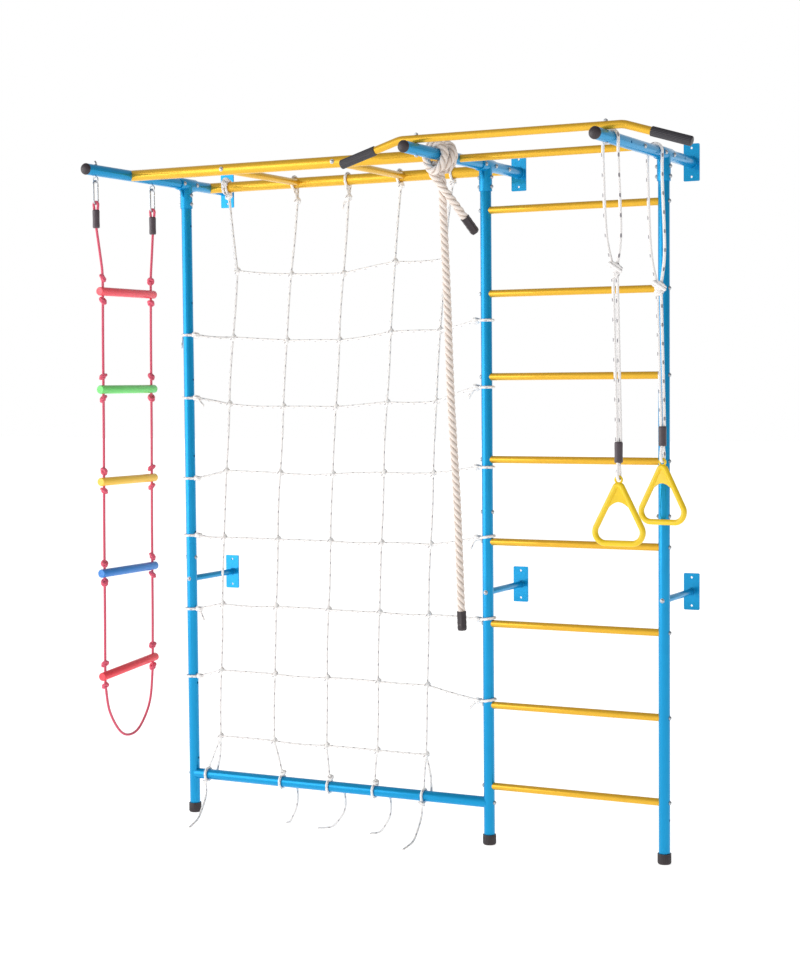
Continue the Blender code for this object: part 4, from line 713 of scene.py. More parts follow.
ends = {side: bent_end(*place) for side, place in BAR_ENDS.items()}
bar = Shape().sweep(ends["left"][0][::-1] + ends["right"][0], BAR_R, sides=COARSE, ends="flat")
piece("pull_up_tube", bar.mesh("pull_up"), YELLOW, "pull_up_bar")
for side, (points, out) in ends.items():
    inner, outer = BAR_R + GAP, BAR_R + GAP + GRIP_THICK
    profile = rounded([(0, 0.0033), (0.8 * outer, 0.0033), (outer, 0.0), (outer, -0.118),
                       (outer, -0.127), (inner, -0.127), (inner, 0.0003), (0, 0.0003)], 0.002)
    grip = Shape().turn(profile, along(out, points[-1]), 120, GRIP_RIBS, RIB_DEEP)
    piece(f"grip_sleeve_{side}", grip.mesh(f"grip_{side}"), GRIP, f"grip_{side}")
print("pull-up bar reaches", round((ends["left"][0][-1] - ends["right"][0][-1]).length, 3), "m")

# %% [markdown]
# A domed cap closes the front end of each arm. It is one lathe profile: a plug inside the tube, a thin rim
# against the tube's edge, then a dome.

# %% Arm caps
CAP_R, RIM_THICK, DOME_HIGH, PLUG_LONG = 0.0196, 0.0012, 0.0118, 0.015


def dome(radius, height, base=0.0, steps=8):
    """Points of a dome from its rim up to the last ring below its top."""
    angles = [math.radians(90 * i / steps) for i in range(steps)]
    return [(radius * math.cos(a), base + height * math.sin(a)) for a in angles]


for side, x in SIDES.items():
    profile = [(0, -PLUG_LONG), (0.0160, -PLUG_LONG), (0.0165, 0.0), (CAP_R - 0.0006, 0.0),
               (CAP_R, 0.0006)] + dome(CAP_R, DOME_HIGH, RIM_THICK) + [(0, DOME_HIGH + RIM_THICK)]
    cap = Shape().turn(profile, along((0, -1, 0), (x, ARM_END - GAP, 0)), sides=FINE)
    piece(f"arm_end_cap_{side}", cap.mesh(f"arm_cap_{side}"), RUBBER, f"arm_cap_{side}", sharp=50)

# %% [markdown]
# Many small copies of one form are work for Geometry Nodes. The tree below puts a copy of an object on each
# point of a mesh and turns its Z axis to the vector called facing that the point carries. It ends by making
# the copies real and giving them their material. It is used for bolts, nuts and the knots of the net.

# %% Tree that places copies
def node_tree(name, sockets):
    tree = bpy.data.node_groups.new(name, "GeometryNodeTree")
    tree.interface.new_socket("Geometry", in_out="INPUT", socket_type="NodeSocketGeometry")
    for label, kind in sockets:
        tree.interface.new_socket(label, in_out="INPUT", socket_type=kind)
    tree.interface.new_socket("Geometry", in_out="OUTPUT", socket_type="NodeSocketGeometry")
    return tree, tree.nodes.new("NodeGroupInput")


def close_tree(tree, geometry, material):
    """Ends a tree with real geometry in its material."""
    real = add(tree, "GeometryNodeRealizeInstances", {0: geometry})
    coated = add(tree, "GeometryNodeSetMaterial", {"Geometry": real.outputs[0],
                                                   "Material": material})
    out = tree.nodes.new("NodeGroupOutput")
    tree.links.new(coated.outputs[0], out.inputs[0])


def grown(base, tree, values):
    """Runs a tree on a base object and returns the mesh that it makes."""
    step = base.modifiers.new("Growth", "NODES")
    step.node_group = tree
    names = {item.name: item.identifier for item in tree.interface.items_tree
             if item.in_out == "INPUT"}
    for label, value in values.items():
        step[names[label]] = value
    made = bpy.data.meshes.new_from_object(
        base.evaluated_get(bpy.context.evaluated_depsgraph_get()))
    base.modifiers.remove(step)
    bpy.data.objects.remove(base)
    return made


copies, given = node_tree("Copies on points", [("Copy", "NodeSocketObject"),
                                               ("Finish", "NodeSocketMaterial")])
model = add(copies, "GeometryNodeObjectInfo", {"Object": given.outputs["Copy"]})
facing = add(copies, "GeometryNodeInputNamedAttribute", {"Name": "facing"},
             data_type="FLOAT_VECTOR")
turned = add(copies, "FunctionNodeAlignRotationToVector",
             {"Vector": facing.outputs["Attribute"]}, axis="Z")
placed = add(copies, "GeometryNodeInstanceOnPoints",
             {"Points": given.outputs["Geometry"], "Instance": model.outputs["Geometry"],
              "Rotation": turned.outputs[0]})
close_tree(copies, placed.outputs[0], given.outputs["Finish"])


def place_copies(name, model_mesh, spots, finish):
    """Mesh of copies at spots, a list of (place, facing)."""
    points = bpy.data.meshes.new(name)
    points.from_pydata([tuple(p) for p, _ in spots], [], [])
    facing = points.attributes.new("facing", "FLOAT_VECTOR", "POINT")
    facing.data.foreach_set("vector", [c for _, way in spots for c in way])
    model = linked(f"{name} model", model_mesh)
    made = grown(linked(name, points), copies, {"Copy": model, "Finish": finish})
    bpy.data.objects.remove(model)
    return made


# %% [markdown]
# Two fasteners do all the work: a domed bolt head on a washer, and a hexagon nut with a round cap on a
# washer. Each is turned once. The nut's six sides are one turn of six facets between the washer and the
# dome.

# %% Bolt heads and cap nuts
def washer(radius, thick, low=-0.0005):
    """Profile of a washer with small radii, from its underside."""
    return rounded([(0, low), (radius, low), (radius, thick), (0, thick)], 0.0003)


def bolt_head():
    shape = Shape().turn(washer(0.0077, 0.0012), sides=32)
    shape.turn([(0, 0.0008), (0.0060, 0.0008)] + dome(0.0064, 0.0042, 0.0016, 6) + [(0, 0.0058)],
               sides=28)
    return shape.mesh("Bolt head")


def cap_nut():
    shape = Shape().turn(washer(0.0072, 0.0010), sides=28)
    shape.turn([(0, 0.0008), (0.0066, 0.0008), (0.0069, 0.0012), (0.0069, 0.0044),
                (0.0060, 0.0050), (0, 0.0050)], sides=6)
    shape.turn([(0, 0.0045)] + dome(0.0046, 0.0030, 0.0048, 5) + [(0, 0.0078)], sides=24)
    return shape.mesh("Cap nut")


RIGHTWARD, LEFTWARD, FORWARD = (1, 0, 0), (-1, 0, 0), (0, -1, 0)
CLAMP_BOLTS = ((-0.041, 0.0), (0.041, 0.0), (0.0, -0.040), (0.0, -0.072))
heads, nuts = [], []
for side, x in SIDES.items():
    heads += [((x + TUBE_R, POST_Y, SPLICES[side]), RIGHTWARD),
              ((x, POST_Y - TUBE_R, BRACKET_Z), FORWARD)]
    nuts.append(((x - TUBE_R, POST_Y, SPLICES[side]), LEFTWARD))
    for dy, dz in CLAMP_BOLTS:
        heads.append(((x + CLAMP_OUT, POST_Y + dy, dz), RIGHTWARD))
        nuts.append(((x - CLAMP_OUT, POST_Y + dy, dz), LEFTWARD))
for z in RUNG_ZS:
    heads.append(((RIGHT_X + TUBE_R, POST_Y, z), RIGHTWARD))
    nuts.append(((MIDDLE_X - TUBE_R, POST_Y, z), LEFTWARD))
heads.append(((LEFT_X - TUBE_R, POST_Y, CROSSBAR_Z), LEFTWARD))
nuts.append(((MIDDLE_X + TUBE_R, POST_Y, CROSSBAR_Z), RIGHTWARD))
for y in (FRONT_RAIL_Y, REAR_RAIL_Y):
    heads += [((LEFT_X - TUBE_R, y, 0), LEFTWARD), ((MIDDLE_X + TUBE_R, y, 0), RIGHTWARD)]
heads += [((MIDDLE_X - TUBE_R, STRAIGHT_Y, 0), LEFTWARD),
          ((RIGHT_X + TUBE_R, STRAIGHT_Y, 0), RIGHTWARD)]
for x in (MIDDLE_X, RIGHT_X):
    heads.append(((x, PULLUP_Y, -TUBE_R), (0, 0, -1)))
    nuts.append(((x, PULLUP_Y, PULLUP_Z + BAR_R - 0.0005), (0, 0, 1)))
heads += [((x, FRONT_RAIL_Y - TUBE_R, 0), FORWARD) for x in OVERHEAD_XS]

piece("bolt_heads", place_copies("Bolt heads", bolt_head(), heads, ZINC), ZINC, sharp=30)
piece("cap_nuts", place_copies("Cap nuts", cap_nut(), nuts, ZINC), ZINC, sharp=30)
print(len(heads), "heads and", len(nuts), "nuts")

# %% [markdown]
# A foot is a rubber cup with upright ribs all round and a thin collar at its rim. The ribs are one small
# rounded bar repeated round a circle by Geometry Nodes, so their number can be changed in one place.

# %% Ribbed foot cups
FOOT_R, FOOT_HIGH, FOOT_RIBS, SOLE, COLLAR_R = 0.0222, 0.035, 26, 0.008, 0.023
ribs, given = node_tree("Ring of ribs", [("Rib", "NodeSocketObject"),
                                         ("Count", "NodeSocketInt"),
                                         ("Radius", "NodeSocketFloat"),
                                         ("Finish", "NodeSocketMaterial")])
circle = add(ribs, "GeometryNodeMeshCircle", {"Vertices": given.outputs["Count"],
                                              "Radius": given.outputs["Radius"]})
rib = add(ribs, "GeometryNodeObjectInfo", {"Object": given.outputs["Rib"]})
where = add(ribs, "GeometryNodeInputPosition")
outward = add(ribs, "FunctionNodeAlignRotationToVector", {"Vector": where.outputs[0]},
              axis="X")
spread = add(ribs, "GeometryNodeInstanceOnPoints",
             {"Points": circle.outputs[0], "Instance": rib.outputs["Geometry"],
              "Rotation": outward.outputs[0]})
close_tree(ribs, spread.outputs[0], given.outputs["Finish"])


def foot_mesh():
    cup = Shape().turn(rounded([(0, 0.0), (FOOT_R - 0.0015, 0.0), (FOOT_R, 0.004),
                                (FOOT_R, FOOT_HIGH), (TUBE_R + GAP, FOOT_HIGH),
                                (TUBE_R + GAP, SOLE), (0, SOLE)], 0.002), sides=FINE)
    cup.turn(rounded([(FOOT_R - 0.001, FOOT_HIGH - 0.004), (COLLAR_R, FOOT_HIGH - 0.0035),
                      (COLLAR_R, FOOT_HIGH), (FOOT_R - 0.001, FOOT_HIGH)], 0.0008, loop=True),
             sides=FINE, loop=True)
    one_rib = Shape().sweep([(0, 0, 0.005), (0, 0, FOOT_HIGH - 0.004)], 0.0009, sides=8)
    model = linked("Rib model", one_rib.mesh("Rib"))
    made = grown(linked("Ribs", bpy.data.meshes.new("Ribs")), ribs,
                 {"Rib": model, "Count": FOOT_RIBS, "Radius": FOOT_R - 0.0001,
                  "Finish": RUBBER})
    bpy.data.objects.remove(model)
    return merged(cup.mesh("Cup"), made, name="Foot")


foot = foot_mesh()
for side, x in SIDES.items():
    mesh = foot.copy()
    mesh.transform(Matrix.Translation((x, POST_Y, FLOOR_Z)))
    piece(f"foot_cup_{side}", mesh, RUBBER, f"foot_{side}")
print("ribs on each foot:", FOOT_RIBS)

# %% [markdown]
# The rope ladder hangs from two eye bolts through the left arm. An eye bolt is a ring bent from 5 mm wire
# with a straight shank, a nut and a washer above the arm. The spring hooks are 6 mm wire bent to an oval
# with a thinner gate that swings inwards, so each gate is a piece of its own on its own body.

# %% Eye bolts
EYE_R, EYE_WIRE, SHANK_R, SHANK_TOP = 0.0095, 0.005, 0.0038, 0.029
EYE_YS = {"front": -0.842, "rear": -0.505}
EYE_Z = -(TUBE_R + GAP + EYE_WIRE / 2 + EYE_R)


def circle_points(centre, radius, axis, count):
    """Points of a circle in the plane square to the axis."""
    matrix = along(axis, centre)
    angles = [2 * math.pi * i / count for i in range(count)]
    return [matrix @ Vector((radius * math.cos(a), radius * math.sin(a), 0)) for a in angles]


for name, y in EYE_YS.items():
    shape = Shape().sweep(circle_points((LEFT_X, y, EYE_Z), EYE_R, (0, 1, 0), 40),
                          EYE_WIRE / 2, sides=14, closed=True)
    shape.sweep([(LEFT_X, y, EYE_Z + EYE_R), (LEFT_X, y, SHANK_TOP)], SHANK_R, sides=16)
    top = Matrix.Translation((LEFT_X, y, TUBE_R))
    shape.turn(washer(0.0075, 0.0012, 0.0), top, sides=28)
    shape.turn([(0, 0.001), (0.0070, 0.001), (0.0073, 0.0015), (0.0073, 0.0068),
                (0.0064, 0.0075), (0, 0.0075)], top, sides=6)
    shape.turn([(0, 0.007)] + dome(0.0045, 0.0045, 0.0072, 5) + [(0, 0.0117)], top, sides=20)
    piece(f"eye_{name}", shape.mesh(f"eye_{name}"), ZINC, f"eye_bolt_{name}", sharp=35)

# %% Spring hooks and gates
HOOK_WIRE, HOOK_LONG, HOOK_WIDE, HOOK_MOUTH = 0.006, 0.085, 0.030, 0.038
HOOK_TOP_Z = EYE_Z - EYE_R + EYE_WIRE / 2 + HOOK_WIRE / 2 + GAP
HOOK_LOW_Z = HOOK_TOP_Z - HOOK_LONG + HOOK_WIRE
GATE_R, PIN_R, PIN_REACH = 0.0026, 0.0012, 0.0026


def hook_line(y):
    """Line of the bent wire from one lip of its mouth round to the other."""
    r = (HOOK_WIDE - HOOK_WIRE) / 2
    straight = HOOK_LONG - HOOK_WIRE - 2 * r
    middle = HOOK_TOP_Z - r - straight / 2
    line = [Vector((LEFT_X, y + r, middle + HOOK_MOUTH / 2))]
    for start, centre in ((0.0, HOOK_TOP_Z - r), (math.pi, HOOK_TOP_Z - r - straight)):
        for i in range(17):
            a = start + math.pi * i / 16
            line.append(Vector((LEFT_X, y + r * math.cos(a), centre + r * math.sin(a))))
    return line + [Vector((LEFT_X, y + r, middle - HOOK_MOUTH / 2))]


for name, y in EYE_YS.items():
    line = hook_line(y)
    wire = Shape().sweep(line, HOOK_WIRE / 2, sides=16, ends="flat")
    piece(f"hook_wire_{name}", wire.mesh(f"hook_{name}"), ZINC, f"spring_hook_{name}",
          body="rope_ladder", sharp=50)
    low = line[-1] + Vector((0, 0, GAP + GATE_R))
    high = line[0] - Vector((0, 0, GAP + PIN_R))
    pin = Vector((PIN_REACH, 0, 0))
    gate = Shape().sweep([low, low.lerp(high, 0.5), high], GATE_R, sides=14, ends="flat")
    gate.sweep([low - pin, low + pin], PIN_R, sides=10)
    piece(f"gate_wire_{name}", gate.mesh(f"gate_{name}"), ZINC, f"hook_gate_{name}",
          body=f"gate_{name}", sharp=50)
print("hooks hang from", round(HOOK_TOP_Z, 4), "to", round(HOOK_LOW_Z, 4))

# %% [markdown]
# Ropes need smooth lines. The helper draws a curve through a few given points and returns points at an even
# spacing along it, so that braids and strands keep their pitch.

# %% Smooth routes
def route(points, spacing):
    points = [Vector(p) for p in points]
    ends = [2 * points[0] - points[1]] + points + [2 * points[-1] - points[-2]]
    fine = []
    for i in range(1, len(ends) - 2):
        a, b, c, d = ends[i - 1:i + 3]
        for k in range(24):
            t = k / 24
            fine.append(0.5 * ((2 * b) + (c - a) * t + (2 * a - 5 * b + 4 * c - d) * t ** 2
                               + (3 * b - a - 3 * c + d) * t ** 3))
    fine.append(points[-1])
    lengths = [0.0]
    for one, other in zip(fine, fine[1:]):
        lengths.append(lengths[-1] + (other - one).length)
    count = max(2, round(lengths[-1] / spacing))
    result, k = [], 0
    for i in range(count):
        target = lengths[-1] * i / count
        while lengths[k + 1] < target:
            k += 1
        part = (target - lengths[k]) / (lengths[k + 1] - lengths[k])
        result.append(fine[k].lerp(fine[k + 1], part))
    return result + [fine[-1]]


def line_length(points):
    return sum((b - a).length for a, b in zip(points, points[1:]))


# %% [markdown]
# An overhand knot pulled tight looks like two turns of rope wound aslant round the rope itself, with the
# ends tucked in. The knots above and below each rung are made so. The start angle changes from knot to
# knot, because no two knots are tied alike.

# %% Tight knots
WINDING_STEPS = 34


def wound(shape, centre, way, rope_r, half_high, wind_r, start, turns, slant=0.3):
    """Winds rope round a line through the centre, as a knot that holds."""
    matrix = along(way, centre)
    points = []
    for i in range(WINDING_STEPS + 1):
        t = i / WINDING_STEPS
        a = start + 2 * math.pi * turns * t
        rise = min(1.0, 5 * t, 5 * (1 - t))
        r = wind_r * math.sin(math.pi / 2 * rise)
        z = (0.5 - t) * 2 * (half_high - rope_r) * (1 - slant)
        z += slant * half_high * math.cos(a - start) * rise
        points.append(matrix @ Vector((r * math.cos(a), r * math.sin(a), z)))
    shape.sweep(points, rope_r, sides=12)


# %% [markdown]
# The ladder's rope is one length: it starts in a loop round the front hook, runs down through the front
# ends of the five rungs, makes the loose loop below the last rung and comes up through the rear ends to the
# other hook. A short shrink sleeve holds each loop closed.

# %% Rope ladder
LADDER_R = 0.0045
SLEEVE_TOP, SLEEVE_LONG = -0.133, 0.062
RUNG_LONG, RUNG_R = 0.327, 0.0145
ROPE_RUNG_ZS = (-0.408, -0.743, -1.059, -1.374, -1.716)
ROPE_RUNG_TILTS = (0.0, 0.0, 0.0, 0.0, 0.089)
KNOT_WIDE, KNOT_HIGH = 0.025, 0.031
KNOT_RISES = (0.017, 0.015, 0.006, 0.004, 0.013)
RUNG_MIDDLES = (-0.666, -0.691)
HOLE_INSET = 0.0195
SPAN_STEPS, SLACK_BOW = 6, 0.0016
LOOP_ZS, LOOP_IN, LOOP_HALF_WIDE = (-1.855, -1.934, -1.956), 0.022, 0.062


def knot_offset(i, way):
    """Distance of a knot's middle from the rung's. The upper ones don't all sit on their rung."""
    slack = ROPE_RUNG_TILTS[i] * KNOT_WIDE / 2
    return RUNG_R + KNOT_HIGH / 2 + GAP + slack + (KNOT_RISES[i] if way > 0 else 0.0)


def ladder_fall(z, name):
    """The place of one fall of the rope ladder at a height."""
    sign = -1 if name == "front" else 1
    eye, reach = EYE_YS[name], sign * (RUNG_LONG / 2 - HOLE_INSET)
    start = SLEEVE_TOP - SLEEVE_LONG
    first = ROPE_RUNG_ZS[0] + knot_offset(0, 1) + KNOT_HIGH / 2
    high, low = RUNG_MIDDLES
    if z > first:
        share = max(0.0, (start - z) / (start - first))
        return Vector((LEFT_X, eye + (high + reach - eye) * share, z))
    share = min(1.0, (first - z) / (first - ROPE_RUNG_ZS[-1]))
    return Vector((LEFT_X, high + (low - high) * share + reach, z))


def rung_level(i, name):
    offset = (RUNG_LONG / 2) * ROPE_RUNG_TILTS[i]
    return ROPE_RUNG_ZS[i] + (-offset if name == "front" else offset)


def knot_heights(name):
    found = []
    for i in range(len(ROPE_RUNG_ZS)):
        level = rung_level(i, name)
        found += [level + knot_offset(i, 1), level - knot_offset(i, -1)]
    return found


def fall_line(name):
    """Points down one fall, slightly wavy as slack rope is between two knots."""
    heights = [SLEEVE_TOP - 0.5 * SLEEVE_LONG] + knot_heights(name)
    points = []
    for number, (high, low) in enumerate(zip(heights, heights[1:])):
        for k in range(SPAN_STEPS):
            z = high + (low - high) * k / SPAN_STEPS
            point = ladder_fall(z, name)
            bow = SLACK_BOW * math.sin(math.pi * k / SPAN_STEPS) * (-1) ** (number // 2)
            if number % 2 == 0:
                point += Vector((bow, -bow, 0))
            points.append(point)
    return points + [ladder_fall(heights[-1], name)]


front_line, rear_line = fall_line("front"), fall_line("rear")
low_y = (front_line[-1].y + rear_line[-1].y) / 2
bottom = route([front_line[-1], (LEFT_X, front_line[-1].y + LOOP_IN, LOOP_ZS[0]),
                (LEFT_X, low_y - LOOP_HALF_WIDE, LOOP_ZS[1]), (LEFT_X, low_y, LOOP_ZS[2]),
                (LEFT_X, low_y + LOOP_HALF_WIDE, LOOP_ZS[1]),
                (LEFT_X, rear_line[-1].y - LOOP_IN, LOOP_ZS[0]), rear_line[-1]], 0.012)
ladder_line = front_line + bottom[1:-1] + rear_line[::-1]
rope_shape = Shape().sweep(ladder_line, LADDER_R, sides=12)
ladder_rope = piece("ladder_rope_line", rope_shape.mesh("ladder_rope"), RED_ROPE, "ladder_rope",
                    body="rope_ladder", sharp=60)

knots = Shape()
for name in ("front", "rear"):
    for i, z in enumerate(knot_heights(name)):
        centre = ladder_fall(z, name)
        wound(knots, centre, (0.1, 0.2 * (-1) ** i, 1), 1.2 * LADDER_R, KNOT_HIGH / 2,
              KNOT_WIDE / 2 - LADDER_R, 1.9 * i + (0.8 if name == "front" else 2.6),
              turns=2.0, slant=0.42)
ladder_knots = piece("ladder_knots", knots.mesh("ladder_knots"), RED_ROPE, body="rope_ladder",
                     sharp=60)
print("rope of the ladder:", round(line_length(ladder_line), 3), "m between its sleeves")

# %% Loops and sleeves of the rope ladder
LOOP_R, LOOP_NECK, SLEEVE_HALF = 0.009, 0.0075, 0.013
loops, sleeves = Shape(), Shape()
for name, y in EYE_YS.items():
    centre_z = HOOK_LOW_Z + HOOK_WIRE / 2 + GAP + LADDER_R - LOOP_R
    legs = [[Vector((LEFT_X + sign * 0.005, y, SLEEVE_TOP - 0.012)),
             Vector((LEFT_X + sign * LOOP_NECK, y, centre_z - 0.014))] for sign in (-1, 1)]
    bend = [Vector((LEFT_X + LOOP_R * math.cos(a), y, centre_z + LOOP_R * math.sin(a)))
            for a in (math.pi - math.pi * i / 16 for i in range(17))]
    loops.sweep(legs[0] + bend + legs[1][::-1], LADDER_R, sides=12)
    wide = Matrix.Translation((LEFT_X, y, SLEEVE_TOP)) @ Matrix.Diagonal((0.96, 0.9, 1, 1))
    sleeves.turn(rounded([(0, -SLEEVE_LONG), (SLEEVE_HALF - 0.002, -SLEEVE_LONG),
                          (SLEEVE_HALF, -SLEEVE_LONG + 0.004),
                          (SLEEVE_HALF - 0.0005, -0.6 * SLEEVE_LONG),
                          (SLEEVE_HALF - 0.0003, -0.35 * SLEEVE_LONG), (SLEEVE_HALF, -0.004),
                          (SLEEVE_HALF - 0.0015, 0.0), (0, 0.0)], 0.002), wide, sides=40)
ladder_loops = piece("ladder_loops", loops.mesh("loops"), RED_ROPE, body="rope_ladder", sharp=60)
ladder_sleeves = piece("ladder_sleeves", sleeves.mesh("sleeves"), SLEEVE, body="rope_ladder",
                       sharp=60)

# %% [markdown]
# The rungs are moulded tube with a flat end and a small radius round it. They are turned, then tilted as
# the photograph shows: only the last one hangs askew.

# %% Rungs of the rope ladder
half = RUNG_LONG / 2
rim = [(0, 0.0008), (0.010, 0.0004), (0.0125, 0.0), (0.0138, 0.0008), (RUNG_R, 0.0028)]
profile = [(r, inset - half) for r, inset in rim] + [(r, half - inset) for r, inset in rim[::-1]]
for i, z in enumerate(ROPE_RUNG_ZS):
    middle = (ladder_fall(z, "front") + ladder_fall(z, "rear")) / 2
    tilt = ROPE_RUNG_TILTS[i]
    shape = Shape().turn(profile, along((0, math.cos(tilt), math.sin(tilt)), middle), sides=COARSE)
    piece(f"rope_rung_tube_{i + 1}", shape.mesh(f"rope_rung_{i + 1}"),
                             RUNG_PLASTIC[i], f"rope_rung_{i + 1}", body="rope_ladder", sharp=50)

# %% [markdown]
# Three-strand rope is the best case for Geometry Nodes: a rule along a path. The tree copies the path three
# times and pushes each copy sideways on a circle whose angle grows with the distance along the path. Each
# strand then gets a round section. Changing the pitch or the strand size changes the whole rope.

# %% Tree that lays strands
lay_tree, given = node_tree("Laid strands", [
    ("Pitch", "NodeSocketFloat"), ("Lay radius", "NodeSocketFloat"),
    ("Strand radius", "NodeSocketFloat"), ("Step", "NodeSocketFloat"),
    ("Finish", "NodeSocketMaterial")])
even = add(lay_tree, "GeometryNodeResampleCurve",
           {"Curve": given.outputs["Geometry"], "Length": given.outputs["Step"]},
           mode="LENGTH")
tripled = add(lay_tree, "GeometryNodeDuplicateElements", {"Geometry": even.outputs[0],
                                                          "Amount": 3}, domain="SPLINE")
travel = add(lay_tree, "GeometryNodeSplineParameter")
share = add(lay_tree, "ShaderNodeMath", {0: travel.outputs["Length"],
                                         1: given.outputs["Pitch"]}, operation="DIVIDE")
third = add(lay_tree, "ShaderNodeMath", {0: tripled.outputs["Duplicate Index"], 1: 3.0},
            operation="DIVIDE")
turns_made = add(lay_tree, "ShaderNodeMath", {0: share.outputs[0], 1: third.outputs[0]},
                 operation="ADD")
angle = add(lay_tree, "ShaderNodeMath", {0: turns_made.outputs[0], 1: 2 * math.pi},
            operation="MULTIPLY")
cosine, sine = (add(lay_tree, "ShaderNodeMath", {0: angle.outputs[0]}, operation=wave)
                for wave in ("COSINE", "SINE"))
normal = add(lay_tree, "GeometryNodeInputNormal")
tangent = add(lay_tree, "GeometryNodeInputTangent")
across = add(lay_tree, "ShaderNodeVectorMath", {0: tangent.outputs[0], 1: normal.outputs[0]},
             operation="CROSS_PRODUCT")
part_one, part_two = (add(lay_tree, "ShaderNodeVectorMath", {0: arrow.outputs[0],
                                                             "Scale": wave.outputs[0]},
                          operation="SCALE") for arrow, wave in ((normal, cosine), (across, sine)))
sideways = add(lay_tree, "ShaderNodeVectorMath", {0: part_one.outputs[0],
                                                  1: part_two.outputs[0]}, operation="ADD")
offset = add(lay_tree, "ShaderNodeVectorMath", {0: sideways.outputs[0],
                                                "Scale": given.outputs["Lay radius"]},
             operation="SCALE")
before = add(lay_tree, "GeometryNodeInputPosition")
marked = add(lay_tree, "GeometryNodeStoreNamedAttribute",
             {"Geometry": tripled.outputs[0], "Name": "axis", "Value": before.outputs[0]},
             data_type="FLOAT_VECTOR", domain="POINT")
laid = add(lay_tree, "GeometryNodeSetPosition", {"Geometry": marked.outputs[0],
                                                 "Offset": offset.outputs[0]})
section = add(lay_tree, "GeometryNodeCurvePrimitiveCircle",
              {"Resolution": 14, "Radius": given.outputs["Strand radius"]})
strands = add(lay_tree, "GeometryNodeCurveToMesh", {"Curve": laid.outputs[0],
                                                    "Profile Curve": section.outputs[0],
                                                    "Fill Caps": True})
surface = add(lay_tree, "GeometryNodeInputPosition")
axis = add(lay_tree, "GeometryNodeInputNamedAttribute", {"Name": "axis"},
           data_type="FLOAT_VECTOR")
depth = add(lay_tree, "ShaderNodeVectorMath", {0: surface.outputs[0],
                                               1: axis.outputs["Attribute"]},
            operation="DISTANCE")
measured = add(lay_tree, "GeometryNodeStoreNamedAttribute",
               {"Geometry": strands.outputs[0], "Name": "depth",
                "Value": depth.outputs["Value"]}, data_type="FLOAT", domain="POINT")
close_tree(lay_tree, measured.outputs[0], given.outputs["Finish"])


CLIMB_R, STRAND_R, LAY_PITCH, LAY_STEP = 0.0135, 0.0076, -0.068, 0.004


def laid_rope(name, points, pitch=LAY_PITCH, closed=False):
    """Mesh of three-strand rope along the points. A negative pitch lays it left-handed."""
    curve = bpy.data.curves.new(name, "CURVE")
    curve.dimensions = "3D"
    spline = curve.splines.new("POLY")
    spline.points.add(len(points) - 1)
    for point, place in zip(spline.points, points):
        point.co = (*place, 1.0)
    spline.use_cyclic_u = closed
    return grown(linked(name, curve), lay_tree,
                 {"Pitch": pitch, "Lay radius": CLIMB_R - STRAND_R - 0.0001,
                  "Strand radius": STRAND_R, "Step": LAY_STEP, "Finish": COTTON})


# %% [markdown]
# The climbing rope is tied round the middle arm with a clove hitch: two turns side by side, slack below the
# arm, and a strand that crosses over them on the right. Both ends come out below, near the front turn. The
# free end is short, lies in front of the long one and has a black cap. The long end hangs to about 0.8 m
# above the floor and has a cap too.

# %% Climbing rope's hitch
TURN_OUT, TURN_LEAN = 0.0345, 0.006
NEAR_Y, FAR_Y = FRONT_RAIL_Y - TURN_OUT, FRONT_RAIL_Y + TURN_OUT
NEAR_DROP, FAR_DROP, CROSSING_DROP = 1.65, 1.45, 1.25
CROSSING_IN, CROSSING_OUT, CROSSING_STEPS = 0.0335, 0.043, 24
HANG_POINTS = ((0.002, 0.0, -0.111), (0.006, 0.003, -0.250), (0.013, 0.007, -0.464),
               (0.021, 0.013, -0.786), (0.037, 0.019, -1.109), (0.047, 0.025, -1.460))
HANG_Y = FRONT_RAIL_Y + 0.010
CAP_ON_TAIL, ROPE_IN_CAP = 0.061, 0.04
climb_points = [Vector((x, HANG_Y + back, z)) for x, back, z in HANG_POINTS]
leaving = (climb_points[1] - climb_points[0]).normalized()
swing_centre = climb_points[0] + leaving * CLIMB_R

turn_r = TUBE_R + GAP + CLIMB_R
turn_pitch = -2 * math.pi * turn_r / 3


def slack_turn(name, y, drop):
    """A turn that lies on top of the arm and hangs loose below it."""
    points = circle_points((0, y, 0), turn_r, (0, 1, 0), 72)
    for p in points:
        p.z *= drop if p.z < 0 else 1.0
        p.y += TURN_LEAN * (p.z / turn_r if p.z < 0 else 0.0)
    return laid_rope(name, points, turn_pitch, closed=True)


crossing = []
for i in range(CROSSING_STEPS + 1):
    t = i / CROSSING_STEPS
    a = math.radians(95 - 190 * t)
    out = CROSSING_IN + (CROSSING_OUT - CROSSING_IN) * math.sin(math.pi * t)
    crossing.append(Vector((out * math.cos(a), FAR_Y + (NEAR_Y - FAR_Y) * t,
                            out * math.sin(a) * (CROSSING_DROP if a < 0 else 1.0))))
tail_points = route([(-0.020, NEAR_Y, -0.040), (-0.008, NEAR_Y + 0.008, -0.072),
                     (0.015, NEAR_Y + 0.019, -0.106), (0.041, NEAR_Y + 0.048, -0.153),
                     (0.063, FAR_Y + 0.012, -0.199)], 0.006)
tail_way = (tail_points[-1] - tail_points[-2]).normalized()
tail_end = tail_points[-1] + tail_way * CAP_ON_TAIL
hitch = merged(slack_turn("Near turn", NEAR_Y, NEAR_DROP), slack_turn("Far turn", FAR_Y, FAR_DROP),
               laid_rope("Crossing", crossing),
               laid_rope("Tail", tail_points + [tail_points[-1] + tail_way * ROPE_IN_CAP]),
               name="hitch")
piece("climbing_hitch", hitch, COTTON, "climbing_knot", body="climbing_knot", sharp=60)
